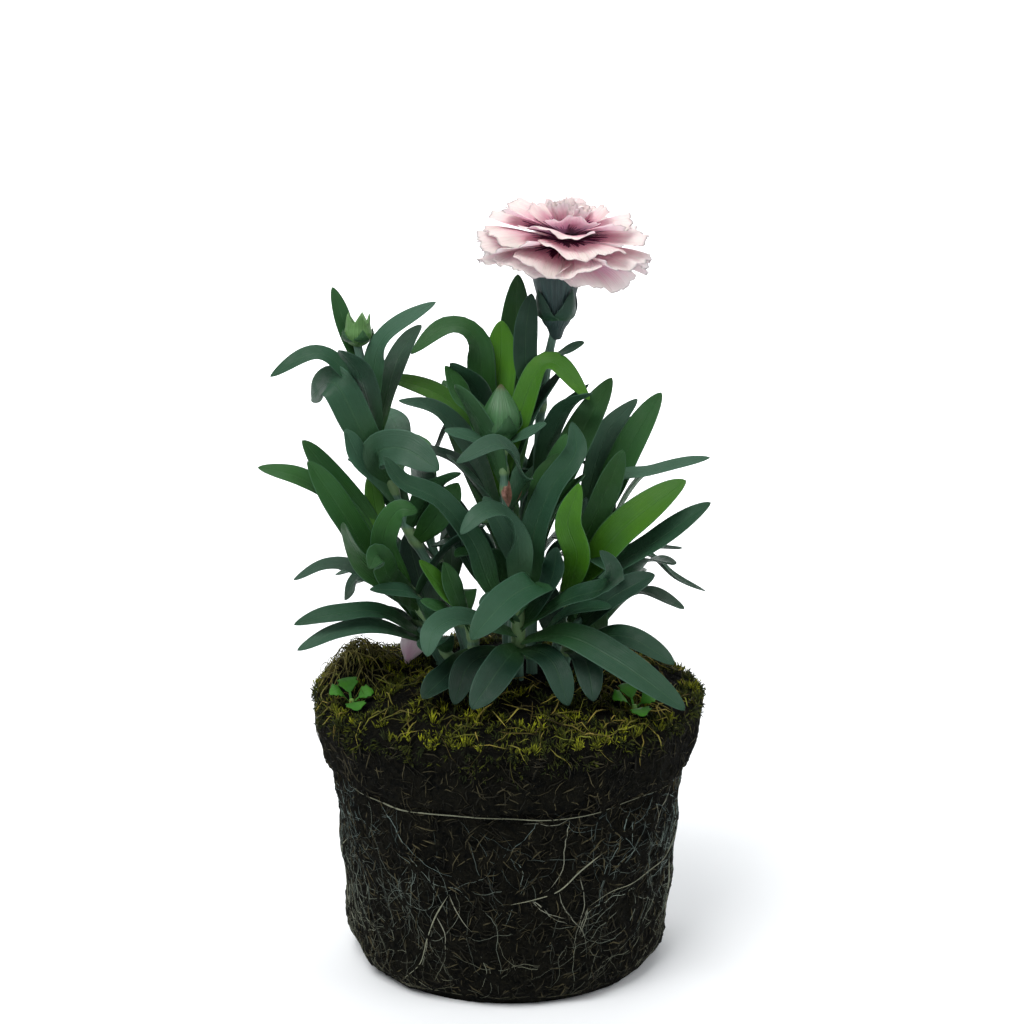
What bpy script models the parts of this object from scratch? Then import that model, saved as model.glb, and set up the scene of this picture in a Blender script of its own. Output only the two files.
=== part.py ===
"""A dianthus in bloom, lifted out of its pot: a leafy plant standing in its own root ball.

The drawing is in millimetres and degrees, and every mesh is scaled to metres as it is made. +Z is up, -Y is
the side that the plant shows best, and the origin is the centre of the root ball's flat base.
"""

import math
import random
from collections import namedtuple

import bmesh
import bpy
from mathutils import Matrix, Vector, noise
from mathutils.bvhtree import BVHTree

MM = 0.001
MERGE = 0.002
UP = Vector((0, 0, 1))
UPRIGHT_SIDE = Vector((0, 1, 0.001))

# Root ball, moulded by a 12 cm pot: a wide band at the top, a step, and a tapered side
BALL_HEIGHT = 81
FLAT_RADIUS = 43
BASE_RADIUS = 47.6
STEP_RADIUS = 52.6
BAND_RADIUS = 54.6
RIM_RADIUS = 57.5
STEP_HEIGHT = 61
BALL_SIDES = 32
BASE_RINGS = [0, 35]
SIDE_RINGS = [0, 3, 9, 22, 35, 48, 60, 63, 71, 79]
TOP_RINGS = [53, 43, 31, 16, 0]
FOOT_ROUNDING = 9
CROWN_MOUND = 9
CLOD_DEPTH = 1.8
CLOD_SIZE = 13
MOSS_DEPTH = 2.2
MOSS_SIZE = 16
HEAP = Vector((-45, -2))
HEAP_HEIGHT = 9
HEAP_SPREAD = 9

# Roots that show on the side of the ball
ROOT_COUNT = 10
ROOT_THICK = 0.9
ROOT_STRIDE = 8.5
ROOT_SEED = 11

# Stems and leaves
STEM_RADIUS = 1.5
STEM_FLARE = 1.15
STEM_TAPER = 0.3
STEM_SIDES = 5
STEM_STEP = 15
FOOT_DEPTH = 9.6
HOLE_DEPTH = 10
HOLE_SLACK = 0.7
HOLE_SIDES = 8
ABOVE_SOIL = 6
GAP = 0.35
LEAF_THICK = 1.1
LEAF_FOLD = math.radians(16)
LEAF_START = 0.5
RIB_STEP = 3
CLEARANCE = 0.45
NUDGE_STEP = 2.5
NUDGE_RINGS = 6
NUDGE_WAYS = 8

# Flower
CALYX_BASE = Vector((14, 4, 189))
CALYX_LENGTH = 21
CALYX_RADIUS = 6.9
CALYX_SIDES = 10
SOCKET_RADIUS = 4.9
PLUG_RADIUS = 4.3
SOCKET_DEPTH = 8
SCALES = 4
CALYX_SCALES = ((5.5, 4.5), (7.1, 12), 9, 0.7)
PETAL_THICK = 0.8
FLOWER_OFFSET = Vector((2.2, -1, CALYX_LENGTH + 2.2))
FLOWER_TILT = math.radians(7)
FLOWER_LEAN = math.radians(6)
SHARP_ANGLE = math.radians(50)

Leaf = namedtuple("Leaf", "at points width face turn", defaults=(10, (0, -0.6, 1), 0))
Shoot = namedtuple("Shoot", "foot path leaves radius", defaults=(STEM_RADIUS,))
Whorl = namedtuple("Whorl", "count length width rise droop height turn")
Spray = namedtuple("Spray", "pairs low reach rise")

GREEN = (0.045, 0.13, 0.075)
SOIL = (0.03, 0.022, 0.016)
PINK = (0.78, 0.42, 0.52)
WEED = (0.11, 0.24, 0.04)

# A shoot is where its stem leaves the soil, the points that the stem passes, and its leaves. A leaf is the
# height at which it leaves the stem, the points that its rib passes up to its tip, its width, the way that
# its upper face looks, and how far it turns about its rib on the way to the tip.
SHOOTS = {
    "flower_stem": Shoot((6.6, 2), [(7, 2.5, 104), (8.5, 4, 138), (9.5, 4, 165), (12, 4, 182),
                                    (13.6, 4, 189)], [
        Leaf(112, [(9, -7, 134), (20, -6, 157), (30, -4, 176)], 11),
        Leaf(132, [(18, 16, 148), (28, 30, 156)], 8),
        Leaf(180, [(17, -1, 183), (22, -4, 186)], 5),
        Leaf(166, [(5.5, 1, 177), (5.2, -1, 189), (6.8, -2, 200)], 7, (0, -1, 0.2)),
    ]),
    "bud_stem": Shoot((2, -7), [(1.2, -8, 111), (0, -9, 138), (-1.5, -10, 152), (-2, -10, 160)], [
        Leaf(156, [(-10, -15, 160), (-18, -18, 163)], 5.5),
        Leaf(157, [(5, -15, 161), (11, -18, 165)], 5),
        Leaf(136, [(4, -21, 150), (-2, -30, 161), (-14, -40, 158)], 7.5),
        Leaf(144, [(4, -3, 165), (12, -3, 179), (24, -5, 168)], 8),
        Leaf(150, [(-8, -4, 163), (-14, -6, 171), (-18, -8, 180)], 8),
        Leaf(108, [(-7, -11, 124), (-13, -12, 138)], 8.5, (0, -1, 0.3)),
    ]),
    "front_rosette": Shoot((3, -17), [(3, -19, 104), (3, -20, 114)], [
        Leaf(106, [(-5, -25, 119), (-10, -29, 133), (-19, -34, 146), (-29, -38, 152), (-34, -40, 160)], 9.5),
        Leaf(101, [(16, -30, 106), (31, -39, 101), (49, -48, 90)], 10.5),
        Leaf(105, [(17, -32, 117), (27, -41, 123), (28, -45, 130), (25, -46, 135)], 9),
        Leaf(109, [(8, -31, 121), (0, -42, 120), (-10, -54, 112)], 10, (0.2, -0.8, 1)),
        Leaf(103, [(-12, -34, 112), (-20, -45, 112), (-22, -50, 106)], 9, (-0.2, -0.8, 1)),
        Leaf(100, [(-2, -37, 99), (-10, -47, 90)], 9.5, (0.3, -1, 1)),
        Leaf(99, [(12, -34, 100), (17, -41, 89)], 8),
        Leaf(110, [(3, -24, 130), (-1, -30, 141), (-7, -36, 143), (-13, -40, 138)], 8.5),
        Leaf(98, [(-10, -32, 99), (-15, -40, 89)], 8),
        Leaf(104, [(12, -25, 120), (14, -30, 132)], 8),
        Leaf(107, [(-3, -31, 117), (-8, -36, 117)], 6),
    ]),
    "left_bud_stem": Shoot((-10, -7), [(-15, -7, 108), (-28, -8, 130), (-35, -8, 148), (-39, -8, 167),
                                       (-43, -8, 187)], [
        Leaf(165, [(-45, -11, 177), (-54, -13, 184), (-67, -16, 178)], 6.5),
        Leaf(166, [(-38, -10, 179), (-34, -12, 189), (-20, -15, 199)], 7.5),
        Leaf(176, [(-46, -5, 189), (-50, -4, 202)], 5),
        Leaf(148, [(-42, -16, 164), (-49, -15, 177), (-57, -2, 171)], 10, (0, -1, 0.5)),
        Leaf(145, [(-37, -17, 156), (-29, -25, 159), (-19, -30, 154)], 10.5, (0, -1, 0.5)),
        Leaf(138, [(-41, -17, 152), (-46, -22, 164)], 8.5),
        Leaf(144, [(-33, 10, 158), (-38, 24, 162)], 8.5),
        Leaf(128, [(-20, -14, 138), (-14, -18, 148)], 8, (0.3, -1, 0.4)),
    ]),
    "tall_shoot": Shoot((0, 10), [(-1, 12, 110), (-2, 14, 140), (-3, 14, 158)], [
        Leaf(150, [(-3, 12, 166), (-2, 13, 178), (-2, 15, 190)], 10),
        Leaf(146, [(0, 18, 164), (2, 20, 184), (3, 21, 203)], 9.5),
        Leaf(142, [(-7, 10, 165), (-9, 8, 184), (-17, 6, 189), (-28, 0, 182)], 8.5),
        Leaf(134, [(-9, 8, 157), (-20, 5, 169), (-37, 4, 175)], 8.5),
        Leaf(126, [(-9, 3, 150), (-20, 0, 165), (-32, -4, 170)], 8.5),
        Leaf(120, [(-14, 30, 150), (-20, 42, 168)], 9, (0, 0, 1)),
        Leaf(130, [(4, 34, 160), (8, 50, 168)], 9, (0, 0, 1)),
        Leaf(104, [(-10, 11, 120), (-20, 11, 141)], 9, (0, -1, 0.3)),
    ]),
    "right_shoot": Shoot((14, -3), [(17, -3, 112), (21, -1, 130), (23, 0, 140)], [
        Leaf(124, [(28, 0, 138), (36, 2, 155), (45, 6, 170)], 9.5),
        Leaf(118, [(25, -7, 135), (33, -10, 156)], 8, (0.4, -1, 0.6)),
        Leaf(133, [(29, 6, 156), (39, 10, 167)], 7),
        Leaf(134, [(31, -3, 146), (42, -7, 149), (58, -12, 154)], 5.5),
        Leaf(110, [(20, -18, 126), (17, -24, 138), (20, -28, 150)], 8, (-0.5, -1, 0.2), 40),
        Leaf(114, [(24, -11, 121), (34, -14, 134), (51, -15, 148)], 11.5, (-0.4, -1, 1)),
        Leaf(108, [(29, -10, 120), (43, -15, 130), (58, -17, 142)], 9),
        Leaf(106, [(30, 3, 119), (41, 7, 121), (50, 10, 113), (60, 12, 108)], 5.5, (0, -0.2, 1)),
    ]),
    "inner_shoot": Shoot((7, -12), [(7, -13, 110), (8, -14, 130), (8, -14, 139)], [
        Leaf(108, [(7, -19, 130), (12, -22, 146), (19, -22, 157), (18, -20, 166)], 9),
        Leaf(131, [(4, -17, 146), (5, -18, 156)], 5.5),
        Leaf(133, [(11, -15, 150), (13, -15, 161)], 6),
        Leaf(114, [(1, -16, 128), (-7, -18, 144)], 8),
    ]),
    "left_shoot": Shoot((-15, -13), [(-24, -14, 108), (-32, -16, 122), (-35, -16, 130)], [
        Leaf(122, [(-48, -19, 141), (-58, -24, 150), (-70, -26, 154)], 9),
        Leaf(114, [(-38, -20, 124), (-46, -24, 139), (-56, -27, 156)], 10),
        Leaf(120, [(-44, -15, 139), (-58, -17, 158)], 9),
        Leaf(128, [(-37, -14, 138), (-38, -13, 149)], 5.5),
        Leaf(116, [(-35, -24, 131), (-31, -28, 142), (-25, -29, 142)], 7.5, (0, -1, 0.3)),
        Leaf(112, [(-41, -25, 127), (-47, -31, 140)], 8, (-0.8, -1, 1)),
        Leaf(110, [(-33, -29, 122), (-36, -36, 131), (-38, -43, 129)], 8, (0.3, -1, 0.6)),
        Leaf(104, [(-27, -29, 118), (-40, -37, 122)], 6.5),
        Leaf(110, [(-43, -10, 120), (-53, -7, 121), (-63, -5, 116)], 5.5),
        Leaf(108, [(-42, 0, 116), (-49, 6, 107)], 6, (0, -0.8, 1)),
        Leaf(100, [(-25, -4, 112), (-30, 1, 129)], 9, (0, -1, 0.3)),
    ]),
    "front_sprout": Shoot((-9, -21), [(-10, -23, 104), (-11, -26, 112)], [
        Leaf(104, [(-15, -29, 118), (-18, -31, 128)], 6.5),
        Leaf(109, [(-12, -32, 119), (-13, -37, 129)], 6),
        Leaf(107, [(-16, -33, 114), (-20, -38, 118)], 6),
        Leaf(100, [(-13, -31, 99), (-19, -42, 96)], 8),
    ]),
    "right_low_shoot": Shoot((16, -12), [(18, -14, 100), (21, -16, 108)], [
        Leaf(99, [(33, -27, 105), (47, -34, 99)], 8),
        Leaf(101, [(28, -20, 113), (42, -22, 122)], 9.5),
        Leaf(97, [(22, -30, 99), (24, -40, 90)], 8),
        Leaf(104, [(30, -12, 116), (42, -10, 122)], 8),
        Leaf(98, [(13, -8, 105), (11, -5, 116)], 8, (0, -1, 0.3)),
    ]),
    "left_low_shoot": Shoot((-20, -3), [(-23, -6, 97), (-26, -9, 103)], [
        Leaf(99, [(-37, -16, 109), (-49, -21, 110), (-61, -25, 108)], 7),
        Leaf(97, [(-37, -18, 105), (-49, -23, 105), (-60, -27, 101)], 6.5),
    ]),
    "back_shoot": Shoot((3, 22), [(4, 27, 110), (5, 31, 130), (5, 33, 146)], []),
    "back_left_shoot": Shoot((-13, 15), [(-19, 21, 108), (-26, 27, 126), (-29, 30, 140)], []),
    "back_right_shoot": Shoot((17, 13), [(23, 20, 108), (30, 26, 124), (33, 29, 138)], []),
    "left_back_sprout": Shoot((-22, 7), [(-28, 9, 102), (-34, 10, 114)], []),
    "right_back_sprout": Shoot((23, 4), [(29, 6, 102), (36, 8, 112)], []),
}

# Leaves that follow the plant's own rule, in pairs turned a quarter from the pair below: pairs, height of
# the lowest, reach, and how far the tips rise above where they leave the stem
SPRAYS = {
    "back_shoot": Spray(5, 98, 38, 26),
    "back_left_shoot": Spray(5, 97, 36, 22),
    "back_right_shoot": Spray(5, 97, 36, 20),
    "left_back_sprout": Spray(4, 95, 30, 12),
    "right_back_sprout": Spray(4, 95, 30, 12),
    "tall_shoot": Spray(4, 100, 32, 26),
    "flower_stem": Spray(2, 98, 28, 26),
    "bud_stem": Spray(4, 96, 26, 30),
    "left_bud_stem": Spray(3, 104, 28, 24),
    "right_shoot": Spray(3, 96, 32, 16),
    "inner_shoot": Spray(3, 96, 24, 26),
    "left_shoot": Spray(2, 96, 26, 20),
}
SPRAY_SEED = 5
SPRAY_WIDTH = 9.5

# The flower's layers of petals, from the outermost in: petals, length, width, rise and droop in degrees,
# height on the core and turn
WHORLS = [
    Whorl(6, 24, 23, -11, 12, 0.0, -60),
    Whorl(6, 24.5, 25, -5, 12, 1.3, -96),
    Whorl(5, 22.5, 25, 7, 18, 2.5, -76),
    Whorl(4, 18, 22, 20, 22, 3.6, -104),
    Whorl(3, 12, 16, 42, 22, 4.2, -80),
]
PETAL_LIFT = 5
PETAL_ROWS, PETAL_COLUMNS = 3, 7
PETAL_TOOTH = 1.3
PETAL_WAVE = 1.1

# Where a bud sits on its stem, its radius and its length
BUDS = {"bud_stem": (Vector((-2, -10, 159)), 5.6, 16), "left_bud_stem": (Vector((-42.6, -8, 186)), 4.1, 9.5)}
BUD_SIDES = 8

WEEDS = {"left_weed": (-45, -23), "right_weed": (36, -31)}
WEED_LEAVES = 4
WEED_SIDES = 6
WEED_REACH = 6.5
WEED_RISE = 2.2
WEED_LEAN = 0.3
WEED_FOOT = 1.6
WEED_DEPTH = 3
WEED_THICK = 0.7
WEED_HOLE_RADIUS = 1.5
FALLEN_SHAPE = Whorl(1, 10, 8.5, 58, 12, 0, 0)
FALLEN_PHASE = 0.4
FALLEN_HIGH = Vector((-30.5, -4, BALL_HEIGHT + 40))
FALLEN_TURN = math.radians(75)
FALLEN_LEAN = math.radians(12)


def clear_scene():
    for old in list(bpy.data.objects):
        bpy.data.objects.remove(old)


def material(name, colour, roughness):
    made = bpy.data.materials.new(name)
    made.use_nodes = True
    surface = made.node_tree.nodes["Principled BSDF"]
    surface.inputs["Base Color"].default_value = (*colour, 1)
    surface.inputs["Roughness"].default_value = roughness
    return made


def finished(bm, name, look=None):
    """The bmesh, drawn in millimetres, as an object in metres."""
    bmesh.ops.remove_doubles(bm, verts=bm.verts, dist=MERGE)
    bmesh.ops.recalc_face_normals(bm, faces=bm.faces)
    bm.transform(Matrix.Scale(MM, 4))
    mesh = bpy.data.meshes.new(name)
    bm.to_mesh(mesh)
    bm.free()
    made = bpy.data.objects.new(name, mesh)
    bpy.context.scene.collection.objects.link(made)
    if look:
        mesh.materials.append(look)
    return made


def boolean(target, others, operation):
    """Joins these objects to the target, or cuts them from it, in one applied Boolean, and removes them.

    The exact solver leaves open edges where many thin blades meet on one stem, so this is the manifold one.
    """
    group = bpy.data.collections.new(target.name + "_pieces")
    bpy.context.scene.collection.children.link(group)
    for other in others:
        bpy.context.scene.collection.objects.unlink(other)
        group.objects.link(other)
    step = target.modifiers.new(operation.lower(), "BOOLEAN")
    step.operation = operation
    step.operand_type = "COLLECTION"
    step.collection = group
    step.solver = "MANIFOLD"
    graph = bpy.context.evaluated_depsgraph_get()
    joined = bpy.data.meshes.new_from_object(target.evaluated_get(graph))
    target.modifiers.clear()
    target.data = joined
    for other in others:
        bpy.data.objects.remove(other)
    bpy.data.collections.remove(group)


def smooth_path(points, step):
    """A Catmull-Rom curve through the points, as points about one step apart."""
    ends = [points[0] * 2 - points[1], *points, points[-1] * 2 - points[-2]]
    made = []
    for a, b, c, d in zip(ends, ends[1:], ends[2:], ends[3:]):
        slope, bend, twist = c - a, a * 2 - b * 5 + c * 4 - d, b * 3 - a - c * 3 + d
        count = max(1, round((c - b).length / step))
        for k in range(count):
            t = k / count
            made.append(b + slope * (t / 2) + bend * (t**2 / 2) + twist * (t**3 / 2))
    return made + [points[-1]]


def tangents(path):
    return [(b - a).normalized() for a, b in zip([path[0], *path], [*path[1:], path[-1]])]


def tube(bm, path, radii, sides, outward=None):
    """A closed tube. outward gives each ring's first direction, the same one for all if left out."""
    made = bmesh.ops.create_grid(bm, x_segments=sides, y_segments=len(path) - 1, size=1)["verts"]
    directions = tangents(path)
    for k, v in enumerate(made):
        ring, side = divmod(k, sides + 1)
        ahead = directions[ring]
        across = outward[ring] if outward else UPRIGHT_SIDE
        across = (across - ahead * across.dot(ahead)).normalized()
        turn = 2 * math.pi * side / sides
        v.co = path[ring] + (across * math.cos(turn) + ahead.cross(across) * math.sin(turn)) * radii[ring]
    bmesh.ops.remove_doubles(bm, verts=made, dist=MERGE)
    ends = {edge for v in made if v.is_valid for edge in v.link_edges if edge.is_boundary}
    bmesh.ops.holes_fill(bm, edges=list(ends), sides=sides)


def lifted(grid, i, j, thick):
    """A point of a blade's upper face: half its thickness above the grid, but on the grid at the outline."""
    if not (0 < i < len(grid) - 1 and 0 < j < len(grid[0]) - 1):
        return grid[i][j]
    across, along = grid[i][j + 1] - grid[i][j - 1], grid[i + 1][j] - grid[i - 1][j]
    return grid[i][j] + across.cross(along).normalized() * (thick / 2)


def shell(bm, grid, thick):
    """Both faces of a blade on a grid of points, to find what it crosses."""
    columns = len(grid[0])
    for side in (thick, -thick):
        made = bmesh.ops.create_grid(bm, x_segments=columns - 1, y_segments=len(grid) - 1, size=1)["verts"]
        for k, v in enumerate(made):
            v.co = lifted(grid, *divmod(k, columns), side)


def tree(bm):
    """A search tree of the bmesh, which it frees."""
    made = BVHTree.FromBMesh(bm)
    bm.free()
    return made


def lens(bm, grid, thick):
    """A solid blade on a grid of points, thick inside and sharp at its outline, both faces split alike."""
    rows, columns = len(grid), len(grid[0])
    places = [(i, j) for i in range(rows) for j in range(columns)]
    top = {place: bm.verts.new(lifted(grid, *place, thick)) for place in places}
    under = dict(top)
    for i in range(1, rows - 1):
        for j in range(1, columns - 1):
            under[i, j] = bm.verts.new(lifted(grid, i, j, -thick))
    for i in range(rows - 1):
        for j in range(columns - 1):
            corners = [(i, j), (i, j + 1), (i + 1, j + 1), (i + 1, j)]
            if (j < (columns - 1) / 2) == (i >= (rows - 1) / 2):
                corners = corners[1:] + corners[:1]
            a, b, c, d = corners
            for face in ((a, b, c), (a, c, d)):
                bm.faces.new([top[k] for k in face])
                bm.faces.new([under[k] for k in reversed(face)])


def side_radius(z):
    """Radius of the ball's side at a height."""
    if z > STEP_HEIGHT + 1:
        share = (z - STEP_HEIGHT - 1) / (BALL_HEIGHT - STEP_HEIGHT - 1)
        return BAND_RADIUS + (RIM_RADIUS - BAND_RADIUS) * min(1, share)
    foot = max(0, FOOT_ROUNDING - z) / FOOT_ROUNDING
    taper = (STEP_RADIUS - BASE_RADIUS) * max(0, z) / STEP_HEIGHT
    return BASE_RADIUS + taper - (BASE_RADIUS - FLAT_RADIUS) * foot**2


def clods(point):
    """Crumbly soil: how far the side stands out at a point."""
    return noise.noise(point / CLOD_SIZE) * CLOD_DEPTH


def side_point(angle, z, out=0):
    ray = Vector((math.cos(angle), math.sin(angle), 0))
    on_side = ray * side_radius(z) + Vector((0, 0, z))
    return on_side + ray * (clods(on_side) + out)


def soil_top(x, y):
    """Height of the mossy top of the ball."""
    share = min(1, math.hypot(x, y) / RIM_RADIUS)
    mound = CROWN_MOUND * (1 - share**2)
    tuft = noise.noise(Vector((x, y, 40)) / MOSS_SIZE) * MOSS_DEPTH * (1 - 0.5 * share)
    heap = HEAP_HEIGHT * math.exp(-((x - HEAP.x) ** 2 + (y - HEAP.y) ** 2) / HEAP_SPREAD**2)
    return BALL_HEIGHT + mound + tuft + heap


def ball_shape():
    """The soil, spun from its profile, with its side crumbly and its top mossy."""
    bm = bmesh.new()
    profile = [Vector((r, 0, 0)) for r in BASE_RINGS]
    profile += [Vector((side_radius(z), 0, z)) for z in SIDE_RINGS]
    profile += [Vector((r, 0, BALL_HEIGHT)) for r in TOP_RINGS]
    verts = [bm.verts.new(p) for p in profile]
    edges = [bm.edges.new(pair) for pair in zip(verts, verts[1:])]
    bmesh.ops.spin(
        bm, geom=verts + edges, cent=Vector(), axis=UP, angle=2 * math.pi, steps=BALL_SIDES, use_merge=True
    )
    bmesh.ops.remove_doubles(bm, verts=bm.verts, dist=MERGE)
    for v in bm.verts:
        if v.co.z > SIDE_RINGS[-1] + MERGE:
            v.co.z = soil_top(v.co.x, v.co.y)
        elif v.co.z > MERGE:
            v.co = side_point(math.atan2(v.co.y, v.co.x), v.co.z)
    bmesh.ops.triangulate(bm, faces=bm.faces)
    return bm


def root_route(number, draw):
    """A root's way down and round the side of the ball, as (angle, height) steps that wander."""
    angle = 2 * math.pi * (number + draw.uniform(-0.4, 0.4)) / ROOT_COUNT
    z = draw.uniform(30, 58)
    heading = draw.uniform(0.25, math.pi - 0.25)
    route = []
    for _ in range(draw.randint(5, 8)):
        route.append((angle, z))
        heading += draw.uniform(-0.5, 0.5)
        angle += math.cos(heading) * ROOT_STRIDE / STEP_RADIUS
        z = max(4, z - abs(math.sin(heading)) * ROOT_STRIDE)
    return route


def roots():
    """Roots half sunk in the side of the ball, one of them along the step that the pot's rim left."""
    draw = random.Random(ROOT_SEED)
    step_root = [(math.radians(a), STEP_HEIGHT - 1.2 + 0.5 * math.sin(a / 9)) for a in range(-152, -20, 9)]
    made = []
    for number, route in enumerate([step_root] + [root_route(k, draw) for k in range(ROOT_COUNT)]):
        bm = bmesh.new()
        path = [side_point(angle, z) for angle, z in route]
        outward = [Vector((p.x, p.y, 0)).normalized() for p in path]
        last = len(path) - 1
        radii = [ROOT_THICK * (0.7 + 0.3 * math.sin(math.pi * k / last)) for k in range(last + 1)]
        tube(bm, path, radii, 3, outward)
        bmesh.ops.triangulate(bm, faces=bm.faces)
        made.append(finished(bm, f"root_{number}"))
    return made


def stem_path(shoot):
    """The middle line of a stem, straight up out of the soil and then through its points."""
    x, y = shoot.foot
    ground = soil_top(x, y)
    knots = [Vector((x, y, ground + 1))] + [Vector(p) for p in shoot.path]
    return [Vector((x, y, ground - FOOT_DEPTH))] + smooth_path(knots, STEM_STEP)


def stem_at(path, z):
    """The point of a stem's middle line at a height."""
    for low, high in zip(path, path[1:]):
        if high.z >= z:
            return low.lerp(high, (z - low.z) / (high.z - low.z))
    return path[-1]


def blade_width(t):
    """A strap leaf's width along its length, as a share of its widest."""
    swell = 0.35 + 0.65 * math.sin(math.pi / 2 * min(1, t / 0.5))
    return swell * (1 - max(0, (t - 0.62) / 0.38) ** 2.2) ** 0.65


def spaced(path, shares):
    """The points of a line at these shares of its length."""
    lengths = [0]
    for a, b in zip(path, path[1:]):
        lengths.append(lengths[-1] + (b - a).length)
    made, k = [], 0
    for share in shares:
        goal = lengths[-1] * share
        while k < len(path) - 2 and lengths[k + 1] < goal:
            k += 1
        made.append(path[k].lerp(path[k + 1], (goal - lengths[k]) / (lengths[k + 1] - lengths[k])))
    return made


def leaf_rows(leaf, base, shares, step):
    """Where a leaf's rib passes at these shares of its length, with the ways sideways and up."""
    knots = [Vector(p) for p in leaf.points]
    start = base + (knots[0] - base).normalized() * LEAF_START
    rib = spaced(smooth_path([start, *knots], step), shares)
    made = []
    for share, point, ahead in zip(shares, rib, tangents(rib)):
        look = Matrix.Rotation(math.radians(leaf.turn * share), 3, ahead) @ Vector(leaf.face)
        side = ahead.cross(look).normalized()
        made.append((point, side, side.cross(ahead)))
    return made


def leaf_grid(leaf, base, margin=0.0):
    """Points of a leaf, three to a row: its edges and the rib between them, which lies lower."""
    rows = len(leaf.points) + 2
    shares = [i / rows for i in range(rows + 1)]
    grid = []
    for share, (point, side, face) in zip(shares, leaf_rows(leaf, base, shares, RIB_STEP)):
        half = leaf.width / 2 * blade_width(share) + margin
        reach, rise = half * math.cos(LEAF_FOLD), half * math.sin(LEAF_FOLD)
        grid.append([point - side * reach + face * rise, point, point + side * reach + face * rise])
    return grid


def blade_tree(*grids, thick=LEAF_THICK + 2 * CLEARANCE):
    bm = bmesh.new()
    for grid in grids:
        shell(bm, grid, thick)
    return tree(bm)


def moved(leaf, shift):
    """The leaf bent over: its tip moves the whole way, and the points before it less."""
    count = len(leaf.points)
    points = [tuple(Vector(p) + shift * ((k + 1) / count)) for k, p in enumerate(leaf.points)]
    return leaf._replace(points=points)


def nudges(leaf):
    """Shifts of a leaf's tip to try, from none to the widest: sideways, up and down."""
    outward = Vector((*leaf.points[-1][:2], 0)).normalized()
    aside = Vector((-outward.y, outward.x, 0))
    yield Vector()
    for ring in range(1, NUDGE_RINGS + 1):
        for k in range(NUDGE_WAYS):
            turn = 2 * math.pi * k / NUDGE_WAYS
            yield (aside * math.cos(turn) + UP * math.sin(turn)) * (ring * NUDGE_STEP)


class Thicket:
    """What the plant has grown so far, so that each new leaf can be bent clear of it."""

    def __init__(self):
        self.grown = []

    def add(self, owner, whole, outer):
        self.grown.append((owner, whole, outer))

    def crosses(self, owner, whole, outer):
        for other, their_whole, their_outer in self.grown:
            if owner == other:
                if their_outer and outer.overlap(their_outer):
                    return True
            elif whole.overlap(their_whole):
                return True
        return False

    def place(self, owner, leaf, path):
        """The leaf, with its tip moved as little as clears the rest, or nothing where no try does."""
        base = stem_at(path, leaf.at)
        for shift in nudges(leaf):
            tried = moved(leaf, shift)
            grid = leaf_grid(tried, base, CLEARANCE)
            whole, outer = blade_tree(grid), blade_tree(grid[2:])
            if not self.crosses(owner, whole, outer):
                self.add(owner, whole, outer)
                return tried
        return None


def spray_leaves(shoot, spray, path, draw):
    """Pairs of leaves up a stem, each pair a quarter turn from the last, smaller and steeper to the top."""
    top = path[-1].z
    lean = math.atan2(shoot.path[-1][1], shoot.path[-1][0])
    for k in range(spray.pairs):
        height = spray.low + (top - spray.low) * k / spray.pairs
        up = (height - spray.low) / max(1, top - spray.low)
        for side in (0, 1):
            turn = lean + math.pi / 4 + math.pi / 2 * k + math.pi * side + draw.uniform(-0.3, 0.3)
            reach = spray.reach * (1 - 0.35 * up) * draw.uniform(0.85, 1.15)
            rise = spray.rise * (0.5 + up) * draw.uniform(0.8, 1.2)
            base = stem_at(path, height)
            out = Vector((math.cos(turn), math.sin(turn), 0))
            tip = base + out * reach + UP * rise
            via = base + out * reach * 0.45 + UP * (rise * 0.5 + reach * draw.uniform(0.12, 0.3))
            width = SPRAY_WIDTH * (1 - 0.25 * up) * draw.uniform(0.9, 1.1)
            tilt = (draw.uniform(-0.3, 0.3), draw.uniform(-0.3, 0.3), 1)
            yield Leaf(height, [tuple(via), tuple(tip)], width, tilt)


def stem_radii(shoot, path):
    return [shoot.radius * (STEM_FLARE - STEM_TAPER * k / (len(path) - 1)) for k in range(len(path))]


def bud(bm, base, radius, length):
    """An unopened flower: a pointed egg, drawn by shares of its radius at shares of its length."""
    shape = [(0.28, -0.06), (0.75, 0.08), (1, 0.32), (0.9, 0.55), (0.5, 0.8), (0.08, 1)]
    path = [base + UP * (h * length) for _, h in shape]
    tube(bm, path, [r * radius for r, _ in shape], BUD_SIDES)


def bud_scale_shape(radius, length):
    return (radius * 1.02, length * 0.2), (radius * 1.08, length * 0.5), radius * 1.3, 0.4


def scales(name, base, bulge, tip, width, turned):
    """Pointed scales round a foot. Their bulge and their tip are each given as how far out and how high."""
    made = []
    for k in range(SCALES):
        turn = 2 * math.pi * k / SCALES + turned
        out = Vector((math.cos(turn), math.sin(turn), 0))
        scale = Leaf(0, [base + out * reach + UP * height for reach, height in (bulge, tip)], width, -out)
        made.append(blade_object(f"{name}_scale_{k}", leaf_grid(scale, base), LEAF_THICK))
    return made


def blade_object(name, grid, thick):
    bm = bmesh.new()
    lens(bm, grid, thick)
    return finished(bm, name)


def calyx(bm):
    """The green cup that holds the petals, from the top of the flower's stem."""
    shape = [(1.4, -3), (2.8, 0), (4.4, 2.5), (5.9, 8), (CALYX_RADIUS, 15), (CALYX_RADIUS, CALYX_LENGTH)]
    path = [CALYX_BASE + UP * h for _, h in shape]
    tube(bm, path, [r for r, _ in shape], CALYX_SIDES)


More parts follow.
